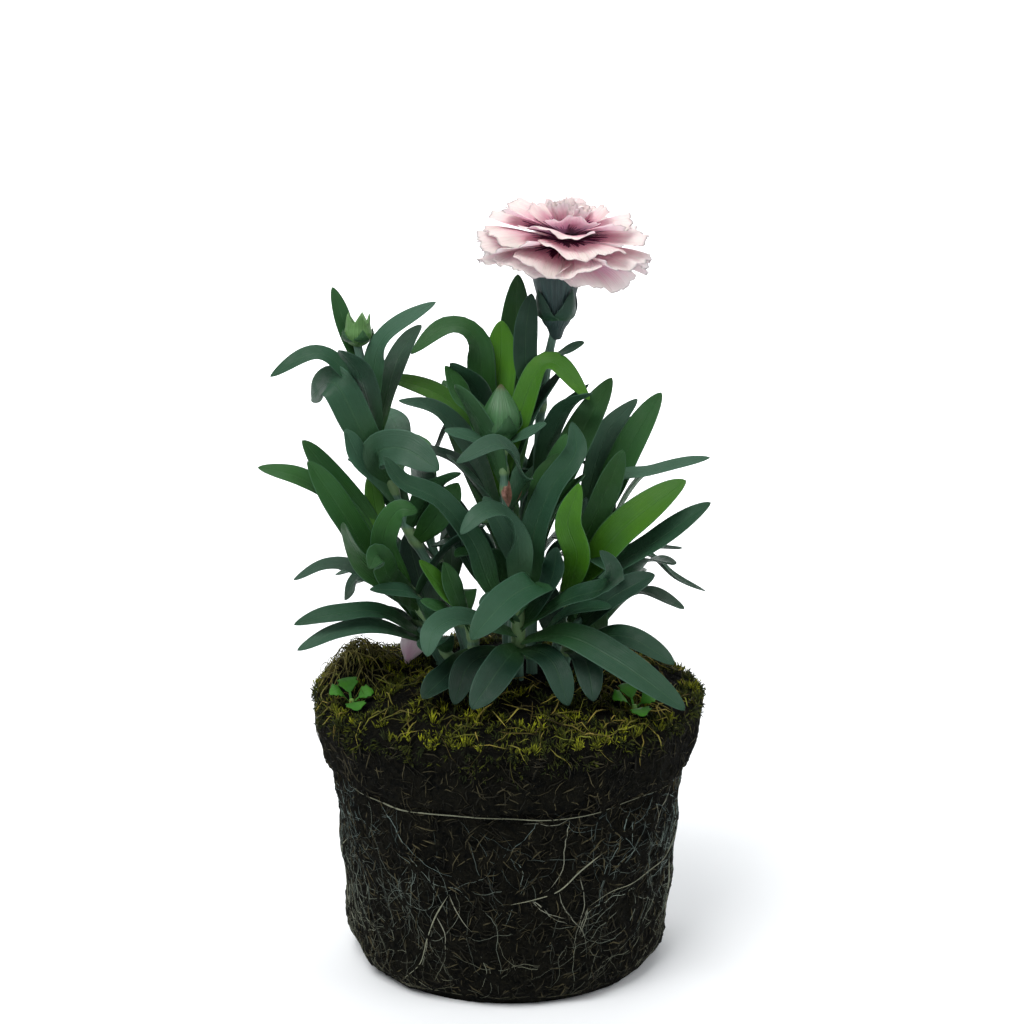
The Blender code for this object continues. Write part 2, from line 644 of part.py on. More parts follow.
def socket_cutter():
    """The hole in the top of the calyx that the flower's plug stands in."""
    bm = bmesh.new()
    low = CALYX_BASE + UP * (CALYX_LENGTH - SOCKET_DEPTH)
    tube(bm, [low, low + UP * (SOCKET_DEPTH + ABOVE_SOIL)], [SOCKET_RADIUS] * 2, CALYX_SIDES)
    return finished(bm, "socket")


def petal_grid(whorl, turn, phase, rows=PETAL_ROWS, columns=PETAL_COLUMNS):
    """A petal about the flower's own axis: a narrow claw that opens into a waved fan with a toothed edge."""
    grid, rib, angle = [], Vector((1.2, 0, whorl.height)), math.radians(whorl.rise)
    bend, stride = math.radians(whorl.droop) / rows, whorl.length / rows
    spin = Matrix.Rotation(turn, 3, "Z")
    for i in range(rows + 1):
        t = i / rows
        half = whorl.width / 2 * (0.14 + 0.86 * math.sin(math.pi / 2 * min(1, t * 1.2)) ** 1.5)
        ahead = Vector((math.cos(angle), 0, math.sin(angle)))
        face = Vector((-math.sin(angle), 0, math.cos(angle)))
        row = []
        for j in range(columns):
            across = 2 * j / (columns - 1) - 1
            tooth = PETAL_TOOTH * (0.5 if j % 2 else -0.5) if i == rows else 0
            back = whorl.length * 0.16 * across**2 * t
            wave = PETAL_WAVE * t * math.sin(across * 4.2 + phase) + 0.06 * whorl.width * across**2 * t
            row.append(spin @ (rib + Vector((0, across * half, 0)) + ahead * (tooth - back) + face * wave))
        grid.append(row)
        rib = rib + ahead * stride
        angle -= bend
    return grid


def flower_frame():
    tilt = Matrix.Rotation(FLOWER_LEAN, 4, "Y") @ Matrix.Rotation(FLOWER_TILT, 4, "X")
    return Matrix.Translation(CALYX_BASE + FLOWER_OFFSET) @ tilt


def petal_grids():
    """All the petals of the flower. Every other one of a layer stands a little higher and steeper."""
    made = []
    for whorl in WHORLS:
        for k in range(whorl.count):
            turn = math.radians(whorl.turn) + 2 * math.pi * k / whorl.count
            odd = k % 2
            raised = whorl._replace(height=whorl.height + odd / 2, rise=whorl.rise + odd * PETAL_LIFT)
            grid = petal_grid(raised, turn, whorl.turn + 2.4 * k)
            made.append([[flower_frame() @ p for p in row] for row in grid])
    return made


def bloom():
    """The petals, whose claws meet in a plug that stands in the calyx."""
    bm = bmesh.new()
    foot = CALYX_BASE + UP * (CALYX_LENGTH - SOCKET_DEPTH + GAP)
    mouth = CALYX_BASE + UP * (CALYX_LENGTH + 0.6)
    plug = [foot, mouth, flower_frame() @ (UP * 0.6), flower_frame() @ (UP * 5)]
    tube(bm, plug, [PLUG_RADIUS, PLUG_RADIUS, PLUG_RADIUS - 0.4, 2.4], CALYX_SIDES)
    core = finished(bm, "bloom", material("petal_pink", PINK, 0.6))
    petals = [blade_object(f"petal_{k}", grid, PETAL_THICK) for k, grid in enumerate(petal_grids())]
    boolean(core, petals, "UNION")


def leafy_stem(name, shoot, leaves):
    """A stem with its leaves, and the bud or calyx that it bears."""
    path = stem_path(shoot)
    bm = bmesh.new()
    tube(bm, path, stem_radii(shoot, path), STEM_SIDES)
    stem = finished(bm, name, material(name + "_green", GREEN, 0.5))
    joined = [
        blade_object(f"{name}_leaf_{k}", leaf_grid(leaf, stem_at(path, leaf.at)), LEAF_THICK)
        for k, leaf in enumerate(leaves)
    ]
    if name in BUDS:
        base, radius, length = BUDS[name]
        bm = bmesh.new()
        bud(bm, base, radius, length)
        joined += [finished(bm, name + "_bud"), *scales(name, base, *bud_scale_shape(radius, length))]
    if name == "flower_stem":
        bm = bmesh.new()
        calyx(bm)
        joined += [finished(bm, "calyx"), *scales("calyx", CALYX_BASE, *CALYX_SCALES)]
    boolean(stem, joined, "UNION")
    if name == "flower_stem":
        boolean(stem, [socket_cutter()], "DIFFERENCE")
    return stem


def foot_cutter(shoot):
    """A plain hole for a stem's foot, a little wider and deeper than the foot."""
    ground = Vector((*shoot.foot, soil_top(*shoot.foot)))
    radius = shoot.radius * STEM_FLARE + HOLE_SLACK
    bm = bmesh.new()
    tube(bm, [ground - UP * HOLE_DEPTH, ground + UP * ABOVE_SOIL], [radius] * 2, HOLE_SIDES)
    return finished(bm, "hole")


def weed_leaf_grid(foot, turn, reach, height):
    """A round lobed leaf on a short stalk from a seedling's foot. The seedling leans to the front."""
    out = Vector((math.cos(turn), math.sin(turn), 0))
    side = Vector((-out.y, out.x, 0))
    straight, lobed = (0, 0, 0, 0, 0), (0, 0.6, -0.5, 0.6, 0)
    grid = []
    for i, (half, edge) in enumerate([(0.4, straight), (0.6, straight), (3, straight), (1.4, lobed)]):
        middle = foot + out * reach * (0.1 + 0.3 * i) + UP * height * math.sin(i * 0.7)
        row = [middle + side * half * (j / 2 - 1) + out * lobe for j, lobe in enumerate(edge)]
        grid.append([p + UP * WEED_LEAN * (p.y - foot.y) for p in row])
    return grid


def weed_leaf_grids(x, y):
    foot = Vector((x, y, soil_top(x, y) + WEED_FOOT))
    made = []
    for k in range(WEED_LEAVES):
        turn = 2 * math.pi * k / WEED_LEAVES + 0.3
        made.append(weed_leaf_grid(foot, turn, WEED_REACH + k % 2, WEED_RISE + k % 3))
    return made


def weed(name, x, y):
    """A seedling that has come up in the moss."""
    ground = Vector((x, y, soil_top(x, y)))
    bm = bmesh.new()
    tube(bm, [ground - UP * WEED_DEPTH, ground + UP * (WEED_FOOT + 1)], [0.7, 1], WEED_SIDES)
    stalk = finished(bm, name, material(name + "_green", WEED, 0.6))
    grids = enumerate(weed_leaf_grids(x, y))
    boolean(stalk, [blade_object(f"{name}_leaf_{k}", grid, WEED_THICK) for k, grid in grids], "UNION")


def weed_cutter(x, y):
    ground = Vector((x, y, soil_top(x, y)))
    low, high = ground - UP * (WEED_DEPTH + GAP), ground + UP * ABOVE_SOIL
    bm = bmesh.new()
    tube(bm, [low, high], [WEED_HOLE_RADIUS] * 2, WEED_SIDES)
    return finished(bm, "weed_hole")


def fallen_place(ground):
    """Where the petal that has dropped on the moss lies, on its lowest point."""
    lean = Matrix.Rotation(FALLEN_TURN, 4, "Z") @ Matrix.Rotation(FALLEN_LEAN, 4, "X")
    high = Matrix.Translation(FALLEN_HIGH) @ lean
    points = [high @ p for row in petal_grid(FALLEN_SHAPE, 0, FALLEN_PHASE) for p in row]
    drop = min(ground.ray_cast(p, -UP)[3] for p in points)
    return Matrix.Translation(-UP * (drop - PETAL_THICK / 2 - GAP)) @ high


def fallen_petal_grid(ground):
    place = fallen_place(ground)
    return [[place @ p for p in row] for row in petal_grid(FALLEN_SHAPE, 0, FALLEN_PHASE)]


def fallen_petal(ground):
    made = blade_object("fallen_petal", fallen_petal_grid(ground), PETAL_THICK)
    made.data.materials.append(material("fallen_pink", PINK, 0.6))


def grow(ground):
    """All the leaves, each bent clear of what grew before: those set by hand, then those of the sprays."""
    thicket, draw = Thicket(), random.Random(SPRAY_SEED)
    paths = {name: stem_path(shoot) for name, shoot in SHOOTS.items()}
    seedlings = [grid for x, y in WEEDS.values() for grid in weed_leaf_grids(x, y)]
    thicket.add("ground", ground, None)
    thicket.add("flower", blade_tree(*petal_grids(), thick=PETAL_THICK), None)
    thicket.add("scraps", blade_tree(fallen_petal_grid(ground), *seedlings, thick=PETAL_THICK), None)
    for name, shoot in SHOOTS.items():
        bm = bmesh.new()
        tube(bm, paths[name], [r + CLEARANCE for r in stem_radii(shoot, paths[name])], STEM_SIDES)
        if name in BUDS:
            bud(bm, *BUDS[name])
        if name == "flower_stem":
            calyx(bm)
        thicket.add(name, tree(bm), None)
    grown = {}
    for name, shoot in SHOOTS.items():
        grown[name] = [thicket.place(name, leaf, paths[name]) for leaf in shoot.leaves]
    for name, spray in SPRAYS.items():
        for leaf in spray_leaves(SHOOTS[name], spray, paths[name], draw):
            grown[name].append(thicket.place(name, leaf, paths[name]))
    return {name: [leaf for leaf in leaves if leaf] for name, leaves in grown.items()}


def main():
    clear_scene()
    ball = finished(ball_shape(), "root_ball", material("soil", SOIL, 0.95))
    boolean(ball, roots(), "UNION")
    ground = tree(ball_shape())
    bloom()
    fallen_petal(ground)
    for name, (x, y) in WEEDS.items():
        weed(name, x, y)
    leaves = grow(ground)
    for name, shoot in SHOOTS.items():
        leafy_stem(name, shoot, leaves[name])
    holes = [foot_cutter(shoot) for shoot in SHOOTS.values()]
    holes += [weed_cutter(x, y) for x, y in WEEDS.values()]
    boolean(ball, holes, "DIFFERENCE")
    for node in bpy.data.objects:
        node.data.shade_smooth()
        node.data.set_sharp_from_angle(angle=SHARP_ANGLE)


main()
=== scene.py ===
"""How a dianthus in bloom looks: fine leaves, petals, roots and moss in place of the part's plain shapes.

The drawing is in millimetres and degrees, as in the part's own source, and every piece is scaled to metres
as it is made. +Z is up, -Y is the side that the plant shows best, and the origin is the centre of the root
ball's flat base.
"""

import math
import random
from collections import namedtuple

import bmesh
import bpy
from mathutils import Matrix, Vector, noise
from mathutils.bvhtree import BVHTree

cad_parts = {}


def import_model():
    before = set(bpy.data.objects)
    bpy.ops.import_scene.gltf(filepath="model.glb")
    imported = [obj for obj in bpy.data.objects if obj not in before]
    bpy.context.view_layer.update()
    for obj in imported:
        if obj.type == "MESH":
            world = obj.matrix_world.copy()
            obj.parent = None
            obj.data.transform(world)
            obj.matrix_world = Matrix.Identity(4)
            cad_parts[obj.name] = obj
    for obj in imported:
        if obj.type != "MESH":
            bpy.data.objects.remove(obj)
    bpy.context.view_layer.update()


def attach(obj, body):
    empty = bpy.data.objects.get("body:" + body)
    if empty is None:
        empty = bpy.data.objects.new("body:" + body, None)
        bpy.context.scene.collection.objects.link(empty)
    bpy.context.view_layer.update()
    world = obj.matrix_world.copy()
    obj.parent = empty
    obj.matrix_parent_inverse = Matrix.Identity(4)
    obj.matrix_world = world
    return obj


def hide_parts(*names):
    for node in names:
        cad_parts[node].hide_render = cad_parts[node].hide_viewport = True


MM = 0.001
MERGE = 0.002
UP = Vector((0, 0, 1))
UPRIGHT_SIDE = Vector((0, 1, 0.001))

# Root ball, moulded by a 12 cm pot: a wide band at the top, a step, and a tapered side
BALL_HEIGHT = 81
FLAT_RADIUS = 43
BASE_RADIUS = 47.6
STEP_RADIUS = 52.6
BAND_RADIUS = 54.6
RIM_RADIUS = 57.5
STEP_HEIGHT = 61
BALL_SIDES = 32
BASE_RINGS = [0, 35]
SIDE_RINGS = [0, 3, 9, 22, 35, 48, 60, 63, 71, 79]
TOP_RINGS = [53, 43, 31, 16, 0]
FOOT_ROUNDING = 9
CROWN_MOUND = 9
CLOD_DEPTH = 1.8
CLOD_SIZE = 13
MOSS_DEPTH = 2.2
MOSS_SIZE = 16
HEAP = Vector((-45, -2))
HEAP_HEIGHT = 9
HEAP_SPREAD = 9

# Roots that show on the side of the ball
ROOT_COUNT = 10
ROOT_STRIDE = 8.5
ROOT_SEED = 11

# Stems and leaves
STEM_RADIUS = 1.5
STEM_FLARE = 1.15
STEM_TAPER = 0.3
STEM_SIDES = 5
STEM_STEP = 15
FOOT_DEPTH = 9.6
GAP = 0.35
LEAF_THICK = 1.1
LEAF_FOLD = math.radians(16)
LEAF_START = 0.5
RIB_STEP = 3
CLEARANCE = 0.45
NUDGE_STEP = 2.5
NUDGE_RINGS = 6
NUDGE_WAYS = 8
OUTER_FROM = 2

# Flower
CALYX_BASE = Vector((14, 4, 189))
CALYX_LENGTH = 21
CALYX_RADIUS = 6.9
CALYX_SIDES = 10
SOCKET_RADIUS = 4.9
PLUG_RADIUS = 4.3
SOCKET_DEPTH = 8
SCALES = 4
CALYX_SCALES = ((5.5, 4.5), (7.1, 12), 9, 0.7)
PETAL_THICK = 0.8
FLOWER_OFFSET = Vector((2.2, -1, CALYX_LENGTH + 2.2))
FLOWER_TILT = math.radians(7)
FLOWER_LEAN = math.radians(6)

Leaf = namedtuple("Leaf", "at points width face turn tone", defaults=(10, (0, -0.6, 1), 0, ""))
Shoot = namedtuple("Shoot", "foot path leaves radius", defaults=(STEM_RADIUS,))
Whorl = namedtuple("Whorl", "count length width rise droop height turn")
Spray = namedtuple("Spray", "pairs low reach rise")

# A shoot is where its stem leaves the soil, the points that the stem passes, and its leaves. A leaf is the
# height at which it leaves the stem, the points that its rib passes up to its tip, its width, the way that
# its upper face looks, and how far it turns about its rib on the way to the tip.
SHOOTS = {
    "flower_stem": Shoot((6.6, 2), [(7, 2.5, 104), (8.5, 4, 138), (9.5, 4, 165), (12, 4, 182),
                                    (13.6, 4, 189)], [
        Leaf(112, [(9, -7, 134), (20, -6, 157), (30, -4, 176)], 11),
        Leaf(132, [(18, 16, 148), (28, 30, 156)], 8),
        Leaf(180, [(17, -1, 183), (22, -4, 186)], 5),
        Leaf(166, [(5.5, 1, 177), (5.2, -1, 189), (6.8, -2, 200)], 7, (0, -1, 0.2)),
    ]),
    "bud_stem": Shoot((2, -7), [(1.2, -8, 111), (0, -9, 138), (-1.5, -10, 152), (-2, -10, 160)], [
        Leaf(156, [(-10, -15, 160), (-18, -18, 163)], 5.5),
        Leaf(157, [(5, -15, 161), (11, -18, 165)], 5),
        Leaf(136, [(4, -21, 150), (-2, -30, 161), (-14, -40, 158)], 7.5),
        Leaf(144, [(4, -3, 165), (12, -3, 179), (24, -5, 168)], 8),
        Leaf(150, [(-8, -4, 163), (-14, -6, 171), (-18, -8, 180)], 8),
        Leaf(108, [(-7, -11, 124), (-13, -12, 138)], 8.5, (0, -1, 0.3)),
    ]),
    "front_rosette": Shoot((3, -17), [(3, -19, 104), (3, -20, 114)], [
        Leaf(106, [(-5, -25, 119), (-10, -29, 133), (-19, -34, 146), (-29, -38, 152), (-34, -40, 160)], 9.5),
        Leaf(101, [(16, -30, 106), (31, -39, 101), (49, -48, 90)], 10.5),
        Leaf(105, [(17, -32, 117), (27, -41, 123), (28, -45, 130), (25, -46, 135)], 9),
        Leaf(109, [(8, -31, 121), (0, -42, 120), (-10, -54, 112)], 10, (0.2, -0.8, 1)),
        Leaf(103, [(-12, -34, 112), (-20, -45, 112), (-22, -50, 106)], 9, (-0.2, -0.8, 1)),
        Leaf(100, [(-2, -37, 99), (-10, -47, 90)], 9.5, (0.3, -1, 1)),
        Leaf(99, [(12, -34, 100), (17, -41, 89)], 8),
        Leaf(110, [(3, -24, 130), (-1, -30, 141), (-7, -36, 143), (-13, -40, 138)], 8.5),
        Leaf(98, [(-10, -32, 99), (-15, -40, 89)], 8),
        Leaf(104, [(12, -25, 120), (14, -30, 132)], 8),
        Leaf(107, [(-3, -31, 117), (-8, -36, 117)], 6),
    ]),
    "left_bud_stem": Shoot((-10, -7), [(-15, -7, 108), (-28, -8, 130), (-35, -8, 148), (-39, -8, 167),
                                       (-43, -8, 187)], [
        Leaf(165, [(-45, -11, 177), (-54, -13, 184), (-67, -16, 178)], 6.5),
        Leaf(166, [(-38, -10, 179), (-34, -12, 189), (-20, -15, 199)], 7.5),
        Leaf(176, [(-46, -5, 189), (-50, -4, 202)], 5),
        Leaf(148, [(-42, -16, 164), (-49, -15, 177), (-57, -2, 171)], 10, (0, -1, 0.5)),
        Leaf(145, [(-37, -17, 156), (-29, -25, 159), (-19, -30, 154)], 10.5, (0, -1, 0.5)),
        Leaf(138, [(-41, -17, 152), (-46, -22, 164)], 8.5),
        Leaf(144, [(-33, 10, 158), (-38, 24, 162)], 8.5),
        Leaf(128, [(-20, -14, 138), (-14, -18, 148)], 8, (0.3, -1, 0.4)),
    ]),
    "tall_shoot": Shoot((0, 10), [(-1, 12, 110), (-2, 14, 140), (-3, 14, 158)], [
        Leaf(150, [(-3, 12, 166), (-2, 13, 178), (-2, 15, 190)], 10),
        Leaf(146, [(0, 18, 164), (2, 20, 184), (3, 21, 203)], 9.5),
        Leaf(142, [(-7, 10, 165), (-9, 8, 184), (-17, 6, 189), (-28, 0, 182)], 8.5),
        Leaf(134, [(-9, 8, 157), (-20, 5, 169), (-37, 4, 175)], 8.5),
        Leaf(126, [(-9, 3, 150), (-20, 0, 165), (-32, -4, 170)], 8.5),
        Leaf(120, [(-14, 30, 150), (-20, 42, 168)], 9, (0, 0, 1)),
        Leaf(130, [(4, 34, 160), (8, 50, 168)], 9, (0, 0, 1)),
        Leaf(104, [(-10, 11, 120), (-20, 11, 141)], 9, (0, -1, 0.3)),
    ]),
    "right_shoot": Shoot((14, -3), [(17, -3, 112), (21, -1, 130), (23, 0, 140)], [
        Leaf(124, [(28, 0, 138), (36, 2, 155), (45, 6, 170)], 9.5),
        Leaf(118, [(25, -7, 135), (33, -10, 156)], 8, (0.4, -1, 0.6)),
        Leaf(133, [(29, 6, 156), (39, 10, 167)], 7),
        Leaf(134, [(31, -3, 146), (42, -7, 149), (58, -12, 154)], 5.5),
        Leaf(110, [(20, -18, 126), (17, -24, 138), (20, -28, 150)], 8, (-0.5, -1, 0.2), 40),
        Leaf(114, [(24, -11, 121), (34, -14, 134), (51, -15, 148)], 11.5, (-0.4, -1, 1)),
        Leaf(108, [(29, -10, 120), (43, -15, 130), (58, -17, 142)], 9),
        Leaf(106, [(30, 3, 119), (41, 7, 121), (50, 10, 113), (60, 12, 108)], 5.5, (0, -0.2, 1)),
    ]),
    "inner_shoot": Shoot((7, -12), [(7, -13, 110), (8, -14, 130), (8, -14, 139)], [
        Leaf(108, [(7, -19, 130), (12, -22, 146), (19, -22, 157), (18, -20, 166)], 9),
        Leaf(131, [(4, -17, 146), (5, -18, 156)], 5.5),
        Leaf(133, [(11, -15, 150), (13, -15, 161)], 6),
        Leaf(114, [(1, -16, 128), (-7, -18, 144)], 8),
    ]),
    "left_shoot": Shoot((-15, -13), [(-24, -14, 108), (-32, -16, 122), (-35, -16, 130)], [
        Leaf(122, [(-48, -19, 141), (-58, -24, 150), (-70, -26, 154)], 9),
        Leaf(114, [(-38, -20, 124), (-46, -24, 139), (-56, -27, 156)], 10),
        Leaf(120, [(-44, -15, 139), (-58, -17, 158)], 9),
        Leaf(128, [(-37, -14, 138), (-38, -13, 149)], 5.5),
        Leaf(116, [(-35, -24, 131), (-31, -28, 142), (-25, -29, 142)], 7.5, (0, -1, 0.3)),
        Leaf(112, [(-41, -25, 127), (-47, -31, 140)], 8, (-0.8, -1, 1)),
        Leaf(110, [(-33, -29, 122), (-36, -36, 131), (-38, -43, 129)], 8, (0.3, -1, 0.6)),
        Leaf(104, [(-27, -29, 118), (-40, -37, 122)], 6.5),
        Leaf(110, [(-43, -10, 120), (-53, -7, 121), (-63, -5, 116)], 5.5),
        Leaf(108, [(-42, 0, 116), (-49, 6, 107)], 6, (0, -0.8, 1)),
        Leaf(100, [(-25, -4, 112), (-30, 1, 129)], 9, (0, -1, 0.3)),
    ]),
    "front_sprout": Shoot((-9, -21), [(-10, -23, 104), (-11, -26, 112)], [
        Leaf(104, [(-15, -29, 118), (-18, -31, 128)], 6.5),
        Leaf(109, [(-12, -32, 119), (-13, -37, 129)], 6),
        Leaf(107, [(-16, -33, 114), (-20, -38, 118)], 6),
        Leaf(100, [(-13, -31, 99), (-19, -42, 96)], 8),
    ]),
    "right_low_shoot": Shoot((16, -12), [(18, -14, 100), (21, -16, 108)], [
        Leaf(99, [(33, -27, 105), (47, -34, 99)], 8),
        Leaf(101, [(28, -20, 113), (42, -22, 122)], 9.5),
        Leaf(97, [(22, -30, 99), (24, -40, 90)], 8),
        Leaf(104, [(30, -12, 116), (42, -10, 122)], 8),
        Leaf(98, [(13, -8, 105), (11, -5, 116)], 8, (0, -1, 0.3)),
    ]),
    "left_low_shoot": Shoot((-20, -3), [(-23, -6, 97), (-26, -9, 103)], [
        Leaf(99, [(-37, -16, 109), (-49, -21, 110), (-61, -25, 108)], 7),
        Leaf(97, [(-37, -18, 105), (-49, -23, 105), (-60, -27, 101)], 6.5),
    ]),
    "back_shoot": Shoot((3, 22), [(4, 27, 110), (5, 31, 130), (5, 33, 146)], []),
    "back_left_shoot": Shoot((-13, 15), [(-19, 21, 108), (-26, 27, 126), (-29, 30, 140)], []),
    "back_right_shoot": Shoot((17, 13), [(23, 20, 108), (30, 26, 124), (33, 29, 138)], []),
    "left_back_sprout": Shoot((-22, 7), [(-28, 9, 102), (-34, 10, 114)], []),
    "right_back_sprout": Shoot((23, 4), [(29, 6, 102), (36, 8, 112)], []),
}

# Leaves that follow the plant's own rule, in pairs turned a quarter from the pair below: pairs, height of
# the lowest, reach, and how far the tips rise above where they leave the stem
SPRAYS = {
    "back_shoot": Spray(5, 98, 38, 26),
    "back_left_shoot": Spray(5, 97, 36, 22),
    "back_right_shoot": Spray(5, 97, 36, 20),
    "left_back_sprout": Spray(4, 95, 30, 12),
    "right_back_sprout": Spray(4, 95, 30, 12),
    "tall_shoot": Spray(4, 100, 32, 26),
    "flower_stem": Spray(2, 98, 28, 26),
    "bud_stem": Spray(4, 96, 26, 30),
    "left_bud_stem": Spray(3, 104, 28, 24),
    "right_shoot": Spray(3, 96, 32, 16),
    "inner_shoot": Spray(3, 96, 24, 26),
    "left_shoot": Spray(2, 96, 26, 20),
}
SPRAY_SEED = 5
SPRAY_WIDTH = 9.5

# The flower's layers of petals, from the outermost in: petals, length, width, rise and droop in degrees,
# height on the core and turn
WHORLS = [
    Whorl(6, 24, 23, -11, 12, 0.0, -60),
    Whorl(6, 24.5, 25, -5, 12, 1.3, -96),
    Whorl(5, 22.5, 25, 7, 18, 2.5, -76),
    Whorl(4, 18, 22, 20, 22, 3.6, -104),
    Whorl(3, 12, 16, 42, 22, 4.2, -80),
]
PETAL_LIFT = 5
PETAL_RAISE = 0.5
PHASE_STEP = 2.4
PETAL_ROWS, PETAL_COLUMNS = 3, 7
PETAL_TOOTH = 1.3
PETAL_WAVE = 1.1
CLAW_START = 1.2

# Where a bud sits on its stem, its radius and its length
BUDS = {
    "bud_stem": (Vector((-2, -10, 159)), 5.6, 16),
    "left_bud_stem": (Vector((-42.6, -8, 186)), 4.1, 9.5),
}
BUD_SIDES = 8

WEEDS = {"left_weed": (-45, -23), "right_weed": (36, -31)}
WEED_LEAVES = 4
WEED_REACH = 6.5
WEED_RISE = 2.2
WEED_TURN = 0.3
WEED_LEAN = 0.3
WEED_FOOT = 1.6
WEED_DEPTH = 3
FALLEN_SHAPE = Whorl(1, 10, 8.5, 58, 12, 0, 0)
FALLEN_PHASE = 0.4
FALLEN_HIGH = Vector((-30.5, -4, BALL_HEIGHT + 40))
FALLEN_TURN = math.radians(75)
FALLEN_LEAN = math.radians(12)


def smooth_path(points, step):
    """A Catmull-Rom curve through the points, as points about one step apart."""
    ends = [points[0] * 2 - points[1], *points, points[-1] * 2 - points[-2]]
    made = []
    for a, b, c, d in zip(ends, ends[1:], ends[2:], ends[3:]):
        slope, bend, twist = c - a, a * 2 - b * 5 + c * 4 - d, b * 3 - a - c * 3 + d
        count = max(1, round((c - b).length / step))
        for k in range(count):
            t = k / count
            made.append(b + slope * (t / 2) + bend * (t**2 / 2) + twist * (t**3 / 2))
    return made + [points[-1]]


def tangents(path):
    return [(b - a).normalized() for a, b in zip([path[0], *path], [*path[1:], path[-1]])]


def tube(bm, path, radii, sides):
    """A closed tube."""
    made = bmesh.ops.create_grid(bm, x_segments=sides, y_segments=len(path) - 1, size=1)["verts"]
    directions = tangents(path)
    for k, v in enumerate(made):
        ring, side = divmod(k, sides + 1)
        ahead = directions[ring]
        across = (UPRIGHT_SIDE - ahead * UPRIGHT_SIDE.dot(ahead)).normalized()
        turn = 2 * math.pi * side / sides
        v.co = path[ring] + (across * math.cos(turn) + ahead.cross(across) * math.sin(turn)) * radii[ring]
    bmesh.ops.remove_doubles(bm, verts=made, dist=MERGE)
    ends = {edge for v in made if v.is_valid for edge in v.link_edges if edge.is_boundary}
    bmesh.ops.holes_fill(bm, edges=list(ends), sides=sides)


def lifted(grid, i, j, thick):
    """A point of a blade's upper face: half its thickness above the grid, but on the grid at the outline."""
    if not (0 < i < len(grid) - 1 and 0 < j < len(grid[0]) - 1):
        return grid[i][j]
    across, along = grid[i][j + 1] - grid[i][j - 1], grid[i + 1][j] - grid[i - 1][j]
    return grid[i][j] + across.cross(along).normalized() * (thick / 2)


def shell(bm, grid, thick):
    """Both faces of a blade on a grid of points, to find what it crosses."""
    columns = len(grid[0])
    for side in (thick, -thick):
        made = bmesh.ops.create_grid(bm, x_segments=columns - 1, y_segments=len(grid) - 1, size=1)["verts"]
        for k, v in enumerate(made):
            v.co = lifted(grid, *divmod(k, columns), side)


def tree(bm):
    """A search tree of the bmesh, which it frees."""
    made = BVHTree.FromBMesh(bm)
    bm.free()
    return made


def ray(turn):
    """The level way out at a turn about the upright axis."""
    return Vector((math.cos(turn), math.sin(turn), 0))


def beside(out):
    """The level way at a right angle to a level way."""
    return Vector((-out.y, out.x, 0))


def side_radius(z):
    """Radius of the ball's side at a height."""
    if z > STEP_HEIGHT + 1:
        share = (z - STEP_HEIGHT - 1) / (BALL_HEIGHT - STEP_HEIGHT - 1)
        return BAND_RADIUS + (RIM_RADIUS - BAND_RADIUS) * min(1, share)
    foot = max(0, FOOT_ROUNDING - z) / FOOT_ROUNDING
    taper = (STEP_RADIUS - BASE_RADIUS) * max(0, z) / STEP_HEIGHT
    return BASE_RADIUS + taper - (BASE_RADIUS - FLAT_RADIUS) * foot**2


def clods(point):
    """Crumbly soil: how far the side stands out at a point."""
    return noise.noise(point / CLOD_SIZE) * CLOD_DEPTH


def side_point(angle, z, out=0):
    """The point of the crumbly side at an angle and a height, or one that lies this far outside it."""
    on_side = ray(angle) * side_radius(z) + UP * z
    return on_side + ray(angle) * (clods(on_side) + out)


def soil_top(x, y):
    """Height of the mossy top of the ball."""
    share = min(1, math.hypot(x, y) / RIM_RADIUS)
    mound = CROWN_MOUND * (1 - share**2)
    tuft = noise.noise(Vector((x, y, 40)) / MOSS_SIZE) * MOSS_DEPTH * (1 - 0.5 * share)
    heap = HEAP_HEIGHT * math.exp(-((x - HEAP.x) ** 2 + (y - HEAP.y) ** 2) / HEAP_SPREAD**2)
    return BALL_HEIGHT + mound + tuft + heap


def spun(profile, sides):
    """A skin spun from its profile about the upright axis."""
    bm = bmesh.new()
    verts = [bm.verts.new(p) for p in profile]
    edges = [bm.edges.new(pair) for pair in zip(verts, verts[1:])]
    full_turn = {"cent": Vector(), "axis": UP, "angle": 2 * math.pi, "use_merge": True}
    bmesh.ops.spin(bm, geom=verts + edges, steps=sides, **full_turn)
    bmesh.ops.remove_doubles(bm, verts=bm.verts, dist=MERGE)
    return bm


def ball_shape(base=BASE_RINGS, side=SIDE_RINGS, top=TOP_RINGS, sides=BALL_SIDES):
    """The soil, spun from its profile, with its side crumbly and its top mossy."""
    profile = [Vector((r, 0, 0)) for r in base]
    profile += [Vector((side_radius(z), 0, z)) for z in side]
    profile += [Vector((r, 0, BALL_HEIGHT)) for r in top]
    bm = spun(profile, sides)
    for v in bm.verts:
        if v.co.z > side[-1] + MERGE:
            v.co.z = soil_top(v.co.x, v.co.y)
        elif v.co.z > MERGE:
            v.co = side_point(math.atan2(v.co.y, v.co.x), v.co.z)
    bmesh.ops.triangulate(bm, faces=bm.faces)
    return bm


def root_route(number, draw):
    """A root's way down and round the side of the ball, as (angle, height) steps that wander."""
    angle = 2 * math.pi * (number + draw.uniform(-0.4, 0.4)) / ROOT_COUNT
    z = draw.uniform(30, 58)
    heading = draw.uniform(0.25, math.pi - 0.25)
    route = []
    for _ in range(draw.randint(5, 8)):
        route.append((angle, z))
        heading += draw.uniform(-0.5, 0.5)
        angle += math.cos(heading) * ROOT_STRIDE / STEP_RADIUS
        z = max(4, z - abs(math.sin(heading)) * ROOT_STRIDE)
    return route


